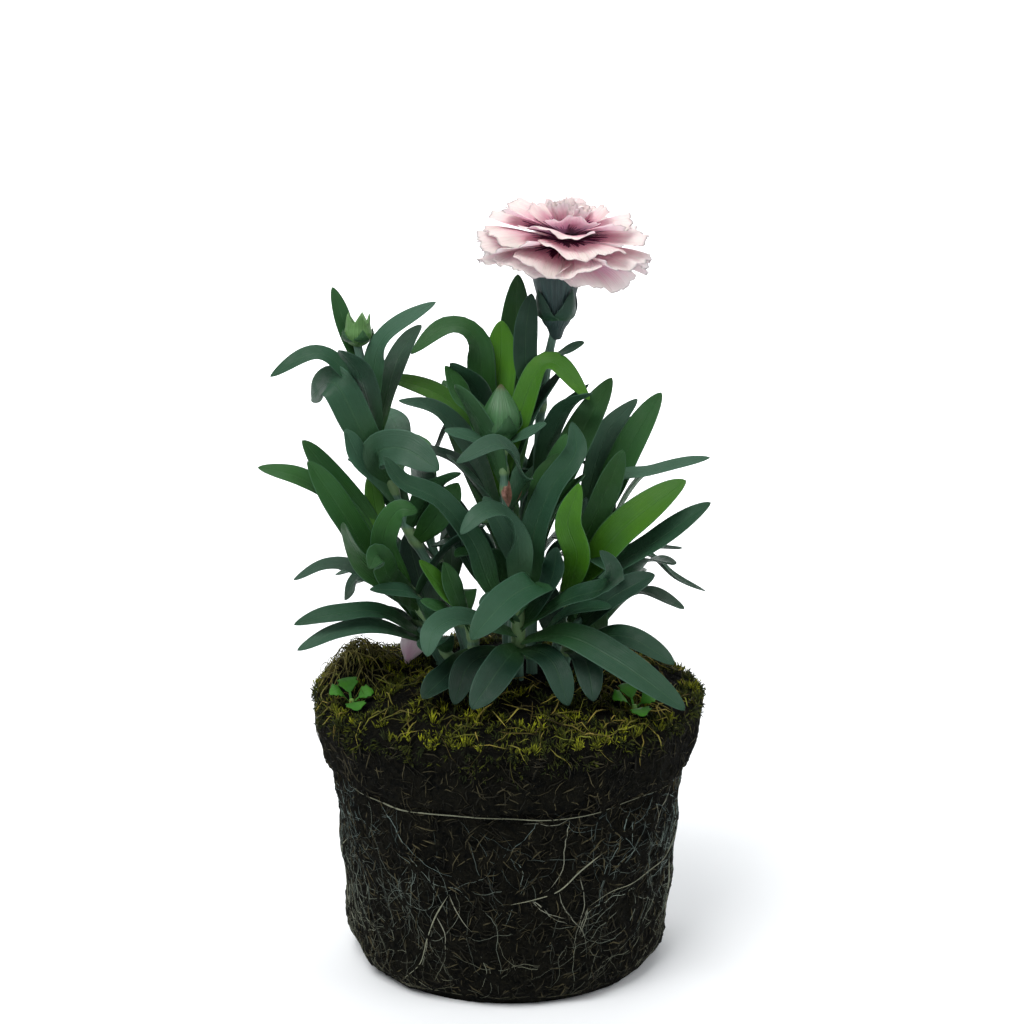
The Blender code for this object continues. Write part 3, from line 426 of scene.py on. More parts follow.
def stem_path(shoot):
    """The middle line of a stem, straight up out of the soil and then through its points."""
    x, y = shoot.foot
    ground = soil_top(x, y)
    knots = [Vector((x, y, ground + 1))] + [Vector(p) for p in shoot.path]
    return [Vector((x, y, ground - FOOT_DEPTH))] + smooth_path(knots, STEM_STEP)


def stem_at(path, z):
    """The point of a stem's middle line at a height."""
    for low, high in zip(path, path[1:]):
        if high.z >= z:
            return low.lerp(high, (z - low.z) / (high.z - low.z))
    return path[-1]


def blade_width(t):
    """A strap leaf's width along its length, as a share of its widest."""
    swell = 0.35 + 0.65 * math.sin(math.pi / 2 * min(1, t / 0.5))
    return swell * (1 - max(0, (t - 0.62) / 0.38) ** 2.2) ** 0.65


def spaced(path, shares):
    """The points of a line at these shares of its length."""
    lengths = [0]
    for a, b in zip(path, path[1:]):
        lengths.append(lengths[-1] + (b - a).length)
    made, k = [], 0
    for share in shares:
        goal = lengths[-1] * share
        while k < len(path) - 2 and lengths[k + 1] < goal:
            k += 1
        made.append(path[k].lerp(path[k + 1], (goal - lengths[k]) / (lengths[k + 1] - lengths[k])))
    return made


def leaf_rows(leaf, base, shares, step):
    """Where a leaf's rib passes at these shares of its length, with the ways sideways and up."""
    knots = [Vector(p) for p in leaf.points]
    start = base + (knots[0] - base).normalized() * LEAF_START
    rib = spaced(smooth_path([start, *knots], step), shares)
    made = []
    for share, point, ahead in zip(shares, rib, tangents(rib)):
        look = Matrix.Rotation(math.radians(leaf.turn * share), 3, ahead) @ Vector(leaf.face)
        side = ahead.cross(look).normalized()
        made.append((point, side, side.cross(ahead)))
    return made


def leaf_grid(leaf, base):
    """Points of a leaf and of the room it needs, three to a row: its edges and its rib, which lies lower."""
    rows = len(leaf.points) + 2
    shares = [i / rows for i in range(rows + 1)]
    grid = []
    for share, (point, side, face) in zip(shares, leaf_rows(leaf, base, shares, RIB_STEP)):
        half = leaf.width / 2 * blade_width(share) + CLEARANCE
        reach, rise = half * math.cos(LEAF_FOLD), half * math.sin(LEAF_FOLD)
        grid.append([point - side * reach + face * rise, point, point + side * reach + face * rise])
    return grid


def blade_tree(*grids, thick=LEAF_THICK + 2 * CLEARANCE):
    bm = bmesh.new()
    for grid in grids:
        shell(bm, grid, thick)
    return tree(bm)


def moved(leaf, shift):
    """The leaf bent over: its tip moves the whole way, and the points before it less."""
    count = len(leaf.points)
    points = [tuple(Vector(p) + shift * ((k + 1) / count)) for k, p in enumerate(leaf.points)]
    return leaf._replace(points=points)


def nudges(leaf):
    """Shifts of a leaf's tip to try, from none to the widest: sideways, up and down."""
    outward = Vector((*leaf.points[-1][:2], 0)).normalized()
    aside = beside(outward)
    yield Vector()
    for ring in range(1, NUDGE_RINGS + 1):
        for k in range(NUDGE_WAYS):
            turn = 2 * math.pi * k / NUDGE_WAYS
            yield (aside * math.cos(turn) + UP * math.sin(turn)) * (ring * NUDGE_STEP)


class Thicket:
    """What the plant has grown so far, so that each new leaf can be bent clear of it.

    Leaves of one stem may meet close to it, so only their outer parts have to clear each other.
    """

    def __init__(self):
        self.grown = []

    def add(self, owner, whole, outer):
        self.grown.append((owner, whole, outer))

    def crosses(self, owner, whole, outer):
        for other, their_whole, their_outer in self.grown:
            if owner == other:
                if their_outer and outer.overlap(their_outer):
                    return True
            elif whole.overlap(their_whole):
                return True
        return False

    def place(self, owner, leaf, path):
        """The leaf, with its tip moved as little as clears the rest, or nothing where no try does."""
        base = stem_at(path, leaf.at)
        for shift in nudges(leaf):
            tried = moved(leaf, shift)
            grid = leaf_grid(tried, base)
            whole, outer = blade_tree(grid), blade_tree(grid[OUTER_FROM:])
            if not self.crosses(owner, whole, outer):
                self.add(owner, whole, outer)
                return tried
        return None


def spray_leaves(shoot, spray, path, draw):
    """Pairs of leaves up a stem, each pair a quarter turn from the last, smaller and steeper to the top."""
    top = path[-1].z
    lean = math.atan2(shoot.path[-1][1], shoot.path[-1][0])
    for k in range(spray.pairs):
        height = spray.low + (top - spray.low) * k / spray.pairs
        up = (height - spray.low) / max(1, top - spray.low)
        for side in (0, 1):
            turn = lean + math.pi / 4 + math.pi / 2 * k + math.pi * side + draw.uniform(-0.3, 0.3)
            reach = spray.reach * (1 - 0.35 * up) * draw.uniform(0.85, 1.15)
            rise = spray.rise * (0.5 + up) * draw.uniform(0.8, 1.2)
            base, out = stem_at(path, height), ray(turn)
            tip = base + out * reach + UP * rise
            via = base + out * reach * 0.45 + UP * (rise * 0.5 + reach * draw.uniform(0.12, 0.3))
            width = SPRAY_WIDTH * (1 - 0.25 * up) * draw.uniform(0.9, 1.1)
            tilt = (draw.uniform(-0.3, 0.3), draw.uniform(-0.3, 0.3), 1)
            yield Leaf(height, [tuple(via), tuple(tip)], width, tilt)


def stem_radii(shoot, path):
    return [shoot.radius * (STEM_FLARE - STEM_TAPER * k / (len(path) - 1)) for k in range(len(path))]


def bud(bm, base, radius, length):
    """An unopened flower: a pointed egg, drawn by shares of its radius at shares of its length."""
    shape = [(0.28, -0.06), (0.75, 0.08), (1, 0.32), (0.9, 0.55), (0.5, 0.8), (0.08, 1)]
    path = [base + UP * (h * length) for _, h in shape]
    tube(bm, path, [r * radius for r, _ in shape], BUD_SIDES)


def bud_scale_shape(radius, length):
    return (radius * 1.02, length * 0.2), (radius * 1.08, length * 0.5), radius * 1.3, 0.4


def calyx(bm):
    """The green cup that holds the petals, from the top of the flower's stem."""
    shape = [(1.4, -3), (2.8, 0), (4.4, 2.5), (5.9, 8), (CALYX_RADIUS, 15), (CALYX_RADIUS, CALYX_LENGTH)]
    path = [CALYX_BASE + UP * h for _, h in shape]
    tube(bm, path, [r for r, _ in shape], CALYX_SIDES)


def petal_half(whorl, t):
    """Half a petal's width: a narrow claw that opens into a fan."""
    return whorl.width / 2 * (0.14 + 0.86 * math.sin(math.pi / 2 * min(1, t * 1.2)) ** 1.5)


def petal_sag(whorl, across, t, phase):
    """How far back a petal's edge lies, and how far its face waves."""
    back = whorl.length * 0.16 * across**2 * t
    wave = PETAL_WAVE * t * math.sin(across * 4.2 + phase) + 0.06 * whorl.width * across**2 * t
    return back, wave


def petal_grid(whorl, turn, phase):
    """A petal about the flower's own axis: a narrow claw that opens into a waved fan with a toothed edge."""
    grid, rib, angle = [], Vector((CLAW_START, 0, whorl.height)), math.radians(whorl.rise)
    bend, stride = math.radians(whorl.droop) / PETAL_ROWS, whorl.length / PETAL_ROWS
    spin = Matrix.Rotation(turn, 3, "Z")
    for i in range(PETAL_ROWS + 1):
        t = i / PETAL_ROWS
        ahead = Vector((math.cos(angle), 0, math.sin(angle)))
        face = Vector((-math.sin(angle), 0, math.cos(angle)))
        row = []
        for j in range(PETAL_COLUMNS):
            across = 2 * j / (PETAL_COLUMNS - 1) - 1
            aside = Vector((0, across * petal_half(whorl, t), 0))
            tooth = PETAL_TOOTH * (0.5 if j % 2 else -0.5) if i == PETAL_ROWS else 0
            back, wave = petal_sag(whorl, across, t, phase)
            row.append(spin @ (rib + aside + ahead * (tooth - back) + face * wave))
        grid.append(row)
        rib = rib + ahead * stride
        angle -= bend
    return grid


def flower_frame():
    tilt = Matrix.Rotation(FLOWER_LEAN, 4, "Y") @ Matrix.Rotation(FLOWER_TILT, 4, "X")
    return Matrix.Translation(CALYX_BASE + FLOWER_OFFSET) @ tilt


def carried(place, grid):
    return [[place @ p for p in row] for row in grid]


def petals(whorls):
    """The shape, turn and phase of each petal. Every other one of a layer stands higher and steeper."""
    for whorl in whorls:
        for k in range(whorl.count):
            odd = k % 2
            height, rise = whorl.height + odd * PETAL_RAISE, whorl.rise + odd * PETAL_LIFT
            turn = math.radians(whorl.turn) + 2 * math.pi * k / whorl.count
            yield whorl._replace(height=height, rise=rise), turn, whorl.turn + PHASE_STEP * k


def petal_grids():
    return [carried(flower_frame(), petal_grid(*petal)) for petal in petals(WHORLS)]


def weed_foot(x, y):
    return Vector((x, y, soil_top(x, y) + WEED_FOOT))


def weed_leaves():
    """Which way each leaf of a seedling points, how far it reaches and how high it rises."""
    for k in range(WEED_LEAVES):
        yield ray(2 * math.pi * k / WEED_LEAVES + WEED_TURN), WEED_REACH + k % 2, WEED_RISE + k % 3


def weed_leaf_grid(foot, out, reach, height):
    """A round lobed leaf on a short stalk from a seedling's foot. The seedling leans to the front."""
    side = beside(out)
    straight, lobed = (0, 0, 0, 0, 0), (0, 0.6, -0.5, 0.6, 0)
    grid = []
    for i, (half, edge) in enumerate([(0.4, straight), (0.6, straight), (3, straight), (1.4, lobed)]):
        middle = foot + out * reach * (0.1 + 0.3 * i) + UP * height * math.sin(i * 0.7)
        row = [middle + side * half * (j / 2 - 1) + out * lobe for j, lobe in enumerate(edge)]
        grid.append([p + UP * WEED_LEAN * (p.y - foot.y) for p in row])
    return grid


def weed_leaf_grids(x, y):
    return [weed_leaf_grid(weed_foot(x, y), *leaf) for leaf in weed_leaves()]


def fallen_place(ground):
    """Where the petal that has dropped on the moss lies, on its lowest point."""
    lean = Matrix.Rotation(FALLEN_TURN, 4, "Z") @ Matrix.Rotation(FALLEN_LEAN, 4, "X")
    high = Matrix.Translation(FALLEN_HIGH) @ lean
    grid = carried(high, petal_grid(FALLEN_SHAPE, 0, FALLEN_PHASE))
    drop = min(ground.ray_cast(p, -UP)[3] for row in grid for p in row)
    return Matrix.Translation(-UP * (drop - PETAL_THICK / 2 - GAP)) @ high


def fallen_petal_grid(ground):
    return carried(fallen_place(ground), petal_grid(FALLEN_SHAPE, 0, FALLEN_PHASE))


def grow(ground):
    """All the leaves, each bent clear of what grew before: those listed one by one, then those of the sprays.
    """
    thicket, draw = Thicket(), random.Random(SPRAY_SEED)
    paths = {name: stem_path(shoot) for name, shoot in SHOOTS.items()}
    seedlings = [grid for x, y in WEEDS.values() for grid in weed_leaf_grids(x, y)]
    thicket.add("ground", ground, None)
    thicket.add("flower", blade_tree(*petal_grids(), thick=PETAL_THICK), None)
    thicket.add("scraps", blade_tree(fallen_petal_grid(ground), *seedlings, thick=PETAL_THICK), None)
    for name, shoot in SHOOTS.items():
        bm = bmesh.new()
        tube(bm, paths[name], [r + CLEARANCE for r in stem_radii(shoot, paths[name])], STEM_SIDES)
        if name in BUDS:
            bud(bm, *BUDS[name])
        if name == "flower_stem":
            calyx(bm)
        thicket.add(name, tree(bm), None)
    grown = {}
    for name, shoot in SHOOTS.items():
        toned = zip(shoot.leaves, HAND_TONES.get(name, "").split())
        leaves = [leaf._replace(tone=tone) for leaf, tone in toned]
        grown[name] = [thicket.place(name, leaf, paths[name]) for leaf in leaves]
    for name, spray in SPRAYS.items():
        for leaf in spray_leaves(SHOOTS[name], spray, paths[name], draw):
            grown[name].append(thicket.place(name, leaf, paths[name]))
    return {name: [leaf for leaf in leaves if leaf] for name, leaves in grown.items()}


# Colours of leaves, and the tone of each listed leaf, in the order of SHOOTS
TONES = {
    "blue": (0.013, 0.047, 0.022),
    "green": (0.018, 0.075, 0.013),
    "fresh": (0.048, 0.160, 0.006),
    "pale": (0.034, 0.086, 0.050),
    # dark is painted shade: the colour of leaves that lie in deep shadow inside the plant
    "dark": (0.007, 0.026, 0.014),
}
# A leaf given the dark tone here is painted in shade
HAND_TONES = {
    "flower_stem": "green green pale dark",
    "bud_stem": "pale pale pale fresh green dark",
    "front_rosette": "blue blue blue blue pale dark dark pale dark dark pale",
    "left_bud_stem": "blue pale green blue pale pale pale green",
    "tall_shoot": "fresh green green fresh pale green green dark",
    "right_shoot": "green green pale pale fresh fresh blue blue",
    "inner_shoot": "blue green green pale",
    "left_shoot": "green green green fresh green green green blue pale blue dark",
    "front_sprout": "green fresh green dark",
    "right_low_shoot": "blue dark dark dark dark",
    "left_low_shoot": "blue pale",
}
# A spray leaf that draws dark takes on that tone's painted shade
SPRAY_TONES = ("blue", "green", "dark", "blue", "green")

BUD_TONES = {False: (0.026, 0.092, 0.026), True: (0.055, 0.145, 0.03)}
SCALE_TONE = (0.012, 0.04, 0.03)
PLUG_TONE = (0.12, 0.02, 0.05)
STYLE_TONE = (0.85, 0.78, 0.8)
ROOT_TONE = (0.17, 0.18, 0.13)
BRANCH_TONE = (0.17, 0.18, 0.14)
LOW_ROOT_TONE, HIGH_ROOT_TONE = Vector((0.2, 0.2, 0.13)), Vector((0.16, 0.22, 0.21))
WEED_TONE, WEED_STALK_TONE = (0.03, 0.13, 0.012), (0.1, 0.2, 0.05)
WEED_STALK_RADII = [0, 0.7, 0.8, 0.7, 0]
HEAP_STRAW_TONE = (0.2, 0.19, 0.06)

# The first tone of each, and how far it rises to the last
MOSS_TONES = ((0.016, 0.024, 0.004), (0.26, 0.27, 0.012))
RIM_MOSS_TONES = ((0.010, 0.016, 0.003), (0.12, 0.13, 0.008))
PEAT_TONES = ((0.006, 0.006, 0.004), (0.05, 0.044, 0.022))
STRAW_TONES = ((0.11, 0.13, 0.02), (0.13, 0.06, 0.03))

# How fine the pieces are, and how many threads there are of each kind
LEAF_STEPS, LEAF_SIDES = 30, 16
STEM_FINE_STEP, STEM_FINE_SIDES = 1.5, 12
BUD_ROWS, BUD_FINE_SIDES = 40, 40
CALYX_ROWS, LINING_ROWS, CALYX_FINE_SIDES = 40, 8, 60
PETAL_STEPS, PETAL_SIDES = 26, 72
WEED_STEPS, WEED_FINE_SIDES = 20, 16
SOIL_SIDES = 300
SOIL_BASE_RINGS = [0, 20, 35, 39, 41.5]
SOIL_SIDE_RINGS = [0, 0.7, 1.5, 2.5, 3.5] + [4.8 + 1.25 * k for k in range(60)]
SOIL_TOP_RINGS = [56.6, 55.8, 54.8] + [53.6 - 1.34 * k for k in range(40)] + [0]
THREAD_OUT, THREAD_LOWEST = 0.15, 2.5
FINE_ROOTS, BRANCHES = 1100, 4
PEAT_FIBRES, PEAT_TOP = 5200, 79
MOSS_TUFTS, RIM_TUFTS, MOSS_BAND = 1900, 480, 36
TUFT_RADII = [0.14, 0.2, 0]
STRAWS, STRAW_EDGE, STRAW_BAND = 560, 57, 32
HEAP_STRAWS, HEAP_STRAW_SPREAD = 190, 4

FINE_LEAF_THICK = 0.8
FINE_PETAL_THICK = 0.45
PETAL_STRAIGHT = 1 / 6
PETAL_TEETH = 5.3
SEPALS = 5
CALYX_RIBS = 30
CALYX_TOOTH = 3.2
OPENING_BUD = "left_bud_stem"

# A withered petal, caught between the middle bud's stem and the inner shoot
WITHERED_SHAPE = Whorl(1, 9, 6, 80, 20, 0, 0)
WITHERED_PHASE = 1.7
WITHERED_PLACE = Vector((0.6, -10.6, 138.5))
WITHERED_TURN = math.radians(-80)

# Small folded petals that fill the middle of the flower, and the styles between them: their turns, and how
# far out and how high each passes
HEART = [Whorl(5, 9.5, 8, 64, 12, 4.4, 25), Whorl(4, 8, 6, 80, -8, 4.8, 60)]
STYLE_TURNS = (0.5, -0.9, 2.4)
STYLE_SHAPE = ((0, 4), (1.2, 8), (2.6, 11.5), (4.6, 12.2), (5, 10.8))

# The light and the camera, in metres. A light is its place, where it points, its size and its power. The
# focal length is a share of the picture's width.
FLOOR_PROFILE = ((0, 0), (2.2, 0), (2.6, 0.03), (2.9, 0.16), (3.0, 0.5), (3.0, 0.9))
FLOOR_SIDES = 64
LIGHTS = {
    "key": ((-0.5, -0.7, 1.4), (0, 0, 0.1), 0.9, 22),
    "fill": ((1.0, -0.4, 0.9), (0, 0, 0.1), 0.7, 4),
    "backdrop": ((0, 0.9, 1.6), (0, 2.9, 0.1), 1.2, 70),
}
SKY_COLOUR, SKY_STRENGTH = (0.95, 0.98, 1, 1), 0.5
CAMERA_PLACE = (0.0012, -0.6, 0.2706)
CAMERA_PITCH = math.radians(12.7)
SENSOR_WIDTH = 36
FOCAL_SHARE = 2094 / 1024

# Carries each closed skin into the piece that it is drawn for
SKIN = bpy.data.meshes.new("skin")


def marked_bmesh():
    bm = bmesh.new()
    bm.verts.layers.float_vector.new("marks")
    bm.verts.layers.float_color.new("tone")
    return bm


def sleeve(bm, rows, around, place, look=0):
    """A grid wrapped into a closed skin. place gives a row's and a turn's point, its marks and its tone."""
    skin = marked_bmesh()
    marks, tones = skin.verts.layers.float_vector["marks"], skin.verts.layers.float_color["tone"]
    made = bmesh.ops.create_grid(skin, x_segments=around, y_segments=rows, size=1)["verts"]
    for face in skin.faces:
        face.material_index = look
    for k, v in enumerate(made):
        row, side = divmod(k, around + 1)
        point, mark, tone = place(row, 2 * math.pi * side / around)
        v.co, v[marks], v[tones] = point, mark, (*tone, 1)
    bmesh.ops.remove_doubles(skin, verts=made, dist=MERGE)
    skin.to_mesh(SKIN)
    skin.free()
    bm.from_mesh(SKIN)


def piece(bm, name, looks, slot, *nodes):
    """The bmesh, drawn in millimetres, as a piece of the plant in metres that stands for these nodes."""
    bmesh.ops.recalc_face_normals(bm, faces=bm.faces)
    bm.transform(Matrix.Scale(MM, 4))
    mesh = bpy.data.meshes.new(name)
    bm.to_mesh(mesh)
    bm.free()
    made = bpy.data.objects.new(name, mesh)
    bpy.context.scene.collection.objects.link(made)
    for look in looks:
        mesh.materials.append(look)
    mesh.shade_smooth()
    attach(made, "root")
    if nodes:
        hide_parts(*nodes)


def scale_width(t):
    """The width of a scale along its length, as a share of its widest: broad below, and pointed."""
    return min(1, 0.5 + 1.8 * t) * (1 - t**2.4)


def fine_leaf(bm, leaf, base, tone, draw, outline=blade_width):
    """A strap leaf: grooved along its rib, gently waved at its edges, and rounded at its tip."""
    shares = [1 - (1 - k / LEAF_STEPS) ** 1.3 for k in range(LEAF_STEPS + 1)]
    rows = leaf_rows(leaf, base, shares, 1)
    ripple, phase, turns = draw.uniform(0.1, 0.45), draw.uniform(0, 6), draw.uniform(7, 12)
    colour = shaded(tone, draw.uniform(0.75, 1.3))

    def place(row, turn):
        share, (point, side, face) = shares[row], rows[row]
        across, up = math.cos(turn), math.sin(turn)
        half = leaf.width / 2 * outline(share) * min(row, 1)
        groove = half * math.sin(LEAF_FOLD) * abs(across) ** 1.4
        wave = math.sin(turns * share + phase + (1.3 if across > 0 else 0))
        rise = groove + ripple * across**2 * min(1, half / 3) * wave
        thick = FINE_LEAF_THICK / 2 * min(1, half / 1.5) * (1 - 0.25 * across**2)
        return point + side * across * half + face * (rise + up * thick), (across, share, up), colour

    sleeve(bm, LEAF_STEPS, LEAF_SIDES, place)


def fine_stem(bm, shoot, path, leaves):
    """A stem that swells where leaves leave it."""
    total = sum((b - a).length for a, b in zip(path, path[1:]))
    count = max(4, round(total / STEM_FINE_STEP))
    shares = [k / count for k in range(count + 1)]
    points = spaced(path, shares)
    nodes = sorted({leaf.at for leaf in leaves})

    def place(row, turn):
        point = points[row]
        swell = sum(0.55 * math.exp(-((point.z - at) / 1.6) ** 2) for at in nodes)
        radius = shoot.radius * (STEM_FLARE - STEM_TAPER * shares[row]) + min(0.7, swell)
        radius *= 1 if 0 < row < count else 0
        return point + ray(turn) * radius, (turn, point.z, swell), TONES["pale"]

    sleeve(bm, count, STEM_FINE_SIDES, place, 1)


def fine_profile(shape, count):
    """A smooth profile through (radius, height) points."""
    curve = smooth_path([Vector((r, h, 0)) for r, h in shape], 0.2)
    return [(p.x, p.y) for p in spaced(curve, [k / count for k in range(count + 1)])]


def sepal_edge(turn):
    """1 where two of the sepals meet, and 0 half way between."""
    return abs(turn / math.pi * SEPALS / 2 % 1 * 2 - 1)


def fine_bud(bm, base, radius, length, opening):
    """A bud's skin, ribbed where its sepals meet. One that opens is a cup with a tooth to each sepal."""
    shape = [(0, -0.06), (0.28, -0.05), (0.75, 0.08), (1, 0.32), (0.9, 0.55)]
    shape += [(0.84, 0.8), (0.5, 0.62), (0, 0.5)] if opening else [(0.5, 0.8), (0.08, 0.99), (0, 1)]
    profile = fine_profile([(r * radius, h * length) for r, h in shape], BUD_ROWS)

    def place(row, turn):
        r, h = profile[row]
        share = h / length
        r *= 1 - 0.06 * share * abs(math.sin(SEPALS / 2 * turn))
        lift = length * (0.32 * sepal_edge(turn) - 0.16) * max(0, share - 0.6) / 0.2 if opening else 0
        spot = base + ray(turn) * r + UP * (h + lift)
        return spot, (turn, 0.9 * share if opening else share, 1), BUD_TONES[opening]

    sleeve(bm, BUD_ROWS, BUD_FINE_SIDES, place, 2)


def fine_scales(bm, base, bulge, tip, width, turned, tone, draw):
    """Pointed scales round a foot, as the part has them."""
    for k in range(SCALES):
        out = ray(2 * math.pi * k / SCALES + turned)
        scale = Leaf(0, [base + out * reach + UP * height for reach, height in (bulge, tip)], width, -out)
        fine_leaf(bm, scale, base, tone, draw, scale_width)


def fine_calyx(bm, draw):
    """The green cup under the flower, finely ribbed, with a tooth to each sepal and scales round its foot."""
    outer = [(0, -3), (1.4, -3), (2.6, 0), (4.2, 2.5), (5.2, 8), (CALYX_RADIUS, 15)]
    outer += [(CALYX_RADIUS, CALYX_LENGTH)]
    inner = [(CALYX_RADIUS - 0.5, CALYX_LENGTH), (SOCKET_RADIUS, 15), (0, 13.5)]
    profile = fine_profile(outer, CALYX_ROWS) + fine_profile(inner, LINING_ROWS)

    def place(row, turn):
        r, h = profile[row]
        share = max(0, h) / CALYX_LENGTH
        tooth = CALYX_TOOTH * max(0, share - 0.75) * (sepal_edge(turn) - 1)
        r *= 1 - 0.012 * math.cos(CALYX_RIBS * turn) * min(1, share * 3)
        return CALYX_BASE + ray(turn) * r + UP * (h + tooth), (turn, share, 1), TONES["dark"]

    sleeve(bm, len(profile) - 1, CALYX_FINE_SIDES, place, 3)
    fine_scales(bm, CALYX_BASE, *CALYX_SCALES, SCALE_TONE, draw)


def fine_shoot(name, shoot, leaves, looks):
    """A stem with its leaves and what it bears, in one piece."""
    draw = random.Random(name)
    path = stem_path(shoot)
    bm = marked_bmesh()
    for leaf in leaves:
        tone = leaf.tone or draw.choice(SPRAY_TONES)
        fine_leaf(bm, leaf, stem_at(path, leaf.at), TONES[tone], draw)
    fine_stem(bm, shoot, path, leaves)
    if name in BUDS:
        base, radius, length = BUDS[name]
        fine_bud(bm, base, radius, length, name == OPENING_BUD)
        fine_scales(bm, base, *bud_scale_shape(radius, length), TONES["green"], draw)
    if name == "flower_stem":
        fine_calyx(bm, draw)
    piece(bm, name + "_looks", looks, "leaf", name)


def fine_petal(bm, whorl, turn, phase, frame):
    """A petal: a narrow claw that opens into a waved fan with a toothed edge."""
    spin = Matrix.Rotation(turn, 3, "Z")
    line, rib = [], Vector((CLAW_START, 0, whorl.height))
    for row in range(PETAL_STEPS + 1):
        share = row / PETAL_STEPS
        angle = math.radians(whorl.rise - whorl.droop * max(0, share - PETAL_STRAIGHT))
        ahead = Vector((math.cos(angle), 0, math.sin(angle)))
        line.append((rib, ahead, Vector((-ahead.z, 0, ahead.x))))
        rib = rib + ahead * whorl.length / PETAL_STEPS

    def place(row, around):
        share, (rib, ahead, face) = row / PETAL_STEPS, line[row]
        across, up = math.cos(around), math.sin(around)
        aside = Vector((0, across * petal_half(whorl, share) * min(row, 1), 0))
        jag = abs((across * PETAL_TEETH + phase + 0.25 * math.sin(across * 9)) % 1 * 2 - 1) - 0.5
        tooth = PETAL_TOOTH * jag * (0.8 + 0.5 * math.sin(across * 7 + phase)) * share**8
        back, wave = petal_sag(whorl, across, share, phase)
        wave += 0.45 * share**4 * math.sin(across * 13 + phase * 3)
        thick = FINE_PETAL_THICK / 2 * (1 - share**6) * min(row, 1)
        spot = rib + aside + ahead * (tooth - back) + face * (wave + up * thick)
        return frame @ (spin @ spot), (across, share, up), (phase % 1, turn % 1, 0)

    sleeve(bm, PETAL_STEPS, PETAL_SIDES, place)


def fine_bloom(looks):
    """The petals, the plug of their claws, and the styles in the middle."""
    bm = marked_bmesh()
    frame = flower_frame()
    for petal in petals(WHORLS + HEART):
        fine_petal(bm, *petal, frame)
    foot = CALYX_BASE + UP * (CALYX_LENGTH - SOCKET_DEPTH + GAP)
    plug = [foot, CALYX_BASE + UP * (CALYX_LENGTH + 0.6), frame @ (UP * 0.6), frame @ (UP * 5)]
    radii = [0, PLUG_RADIUS, PLUG_RADIUS, PLUG_RADIUS - 0.4, 2.4, 0]
    strand(bm, [plug[0], *plug, plug[-1]], radii, 16, PLUG_TONE, 1)
    for turn in STYLE_TURNS:
        points = [frame @ (ray(turn) * reach + UP * height) for reach, height in STYLE_SHAPE]
        path = smooth_path(points, 0.8)
        strand(bm, path, taper(path, 0.42), 6, STYLE_TONE, 1)
    piece(bm, "bloom_looks", looks, "petal", "bloom")


def risen(tones, share):
    """The tone at this share of the way from the first to the last."""
    return [first + rise * share for first, rise in zip(*tones)]


def shaded(tone, shade):
    return [channel * shade for channel in tone]


def taper(path, radius):
    """Radii that thin to nothing at both ends."""
    last = len(path) - 1
    return [radius * min(1, 6 * k / last, 1.1 * (1 - k / last) ** 0.5) for k in range(last + 1)]


def strand(bm, path, radii, sides, tone, look=0):
    """A closed thread along a path."""
    directions = tangents(path)

    def place(row, turn):
        ahead = directions[row] if directions[row].length else UP
        across = ahead.orthogonal().normalized()
        spot = path[row] + (across * math.cos(turn) + ahead.cross(across) * math.sin(turn)) * radii[row]
        return spot, (turn, row / (len(path) - 1), 1), tone

    sleeve(bm, len(path) - 1, sides, place, look)


def fine_soil(looks):
    """The peat, crumbly all over, and flat where it stands."""
    bm = ball_shape(SOIL_BASE_RINGS, SOIL_SIDE_RINGS, SOIL_TOP_RINGS, SOIL_SIDES)
    bmesh.ops.recalc_face_normals(bm, faces=bm.faces)
    bm.normal_update()
    shifts = []
    for v in bm.verts:
        lumps = 0.65 * noise.noise(v.co / 3.1) + 0.5 * noise.noise(v.co / 1.3)
        shifts.append(v.normal * lumps * min(1, v.co.z / 1.5))
    for v, shift in zip(bm.verts, shifts):
        v.co += shift
    piece(bm, "soil_looks", looks, "soil", "root_ball")


def wander(draw, angle, z, heading, count, stride, bend, high=STEP_HEIGHT + 12):
    """A way over the side of the ball that wanders as a root does."""
    path = []
    for _ in range(count):
        path.append(side_point(angle, z, THREAD_OUT + draw.uniform(-0.12, 0.12)))
        heading += draw.uniform(-bend, bend)
        angle += math.cos(heading) * stride / STEP_RADIUS
        z = min(high, max(THREAD_LOWEST, z + math.sin(heading) * stride))
    return path


def fine_roots(looks):
    """The net of roots: the thick ones that the part has, their branches, and hundreds of fine ones."""
    draw = random.Random(ROOT_SEED)
    step_root = [(math.radians(a), STEP_HEIGHT - 1.2 + 0.5 * math.sin(a / 9)) for a in range(-152, -20, 9)]
    routes = [step_root] + [root_route(k, draw) for k in range(ROOT_COUNT)]
    bm = marked_bmesh()
    for route in routes:
        path = smooth_path([side_point(angle, z, 0.25) for angle, z in route], 1.5)
        strand(bm, path, taper(path, 0.22), 5, ROOT_TONE)
        for _ in range(BRANCHES):
            angle, z = draw.choice(route)
            branch = wander(draw, angle, z, draw.uniform(-2.6, -0.5), draw.randint(6, 16), 1.8, 0.35)
            strand(bm, branch, taper(branch, draw.uniform(0.1, 0.2)), 4, BRANCH_TONE)
    for k in range(FINE_ROOTS):
        angle, z = draw.uniform(-math.pi, math.pi), STEP_HEIGHT * draw.random() ** 0.8
        if k % 2:
            angle = draw.gauss(math.pi * (k // 2 % 2), 0.45)
        path = wander(draw, angle, z, draw.uniform(-2.9, -0.2), draw.randint(6, 24), 1.5, 0.45)
        # Roots gathered at the left and right sides of the ball are painted brighter than the rest: painted
        # rim light along the ball's outline
        shade = draw.uniform(0.15, 1) * (1 if k % 2 else 0.6)
        tone = LOW_ROOT_TONE.lerp(HIGH_ROOT_TONE, z / STEP_HEIGHT) * shade
        strand(bm, path, taper(path, draw.uniform(0.05, 0.14)), 3, tone)
    piece(bm, "root_net", looks, "soil")


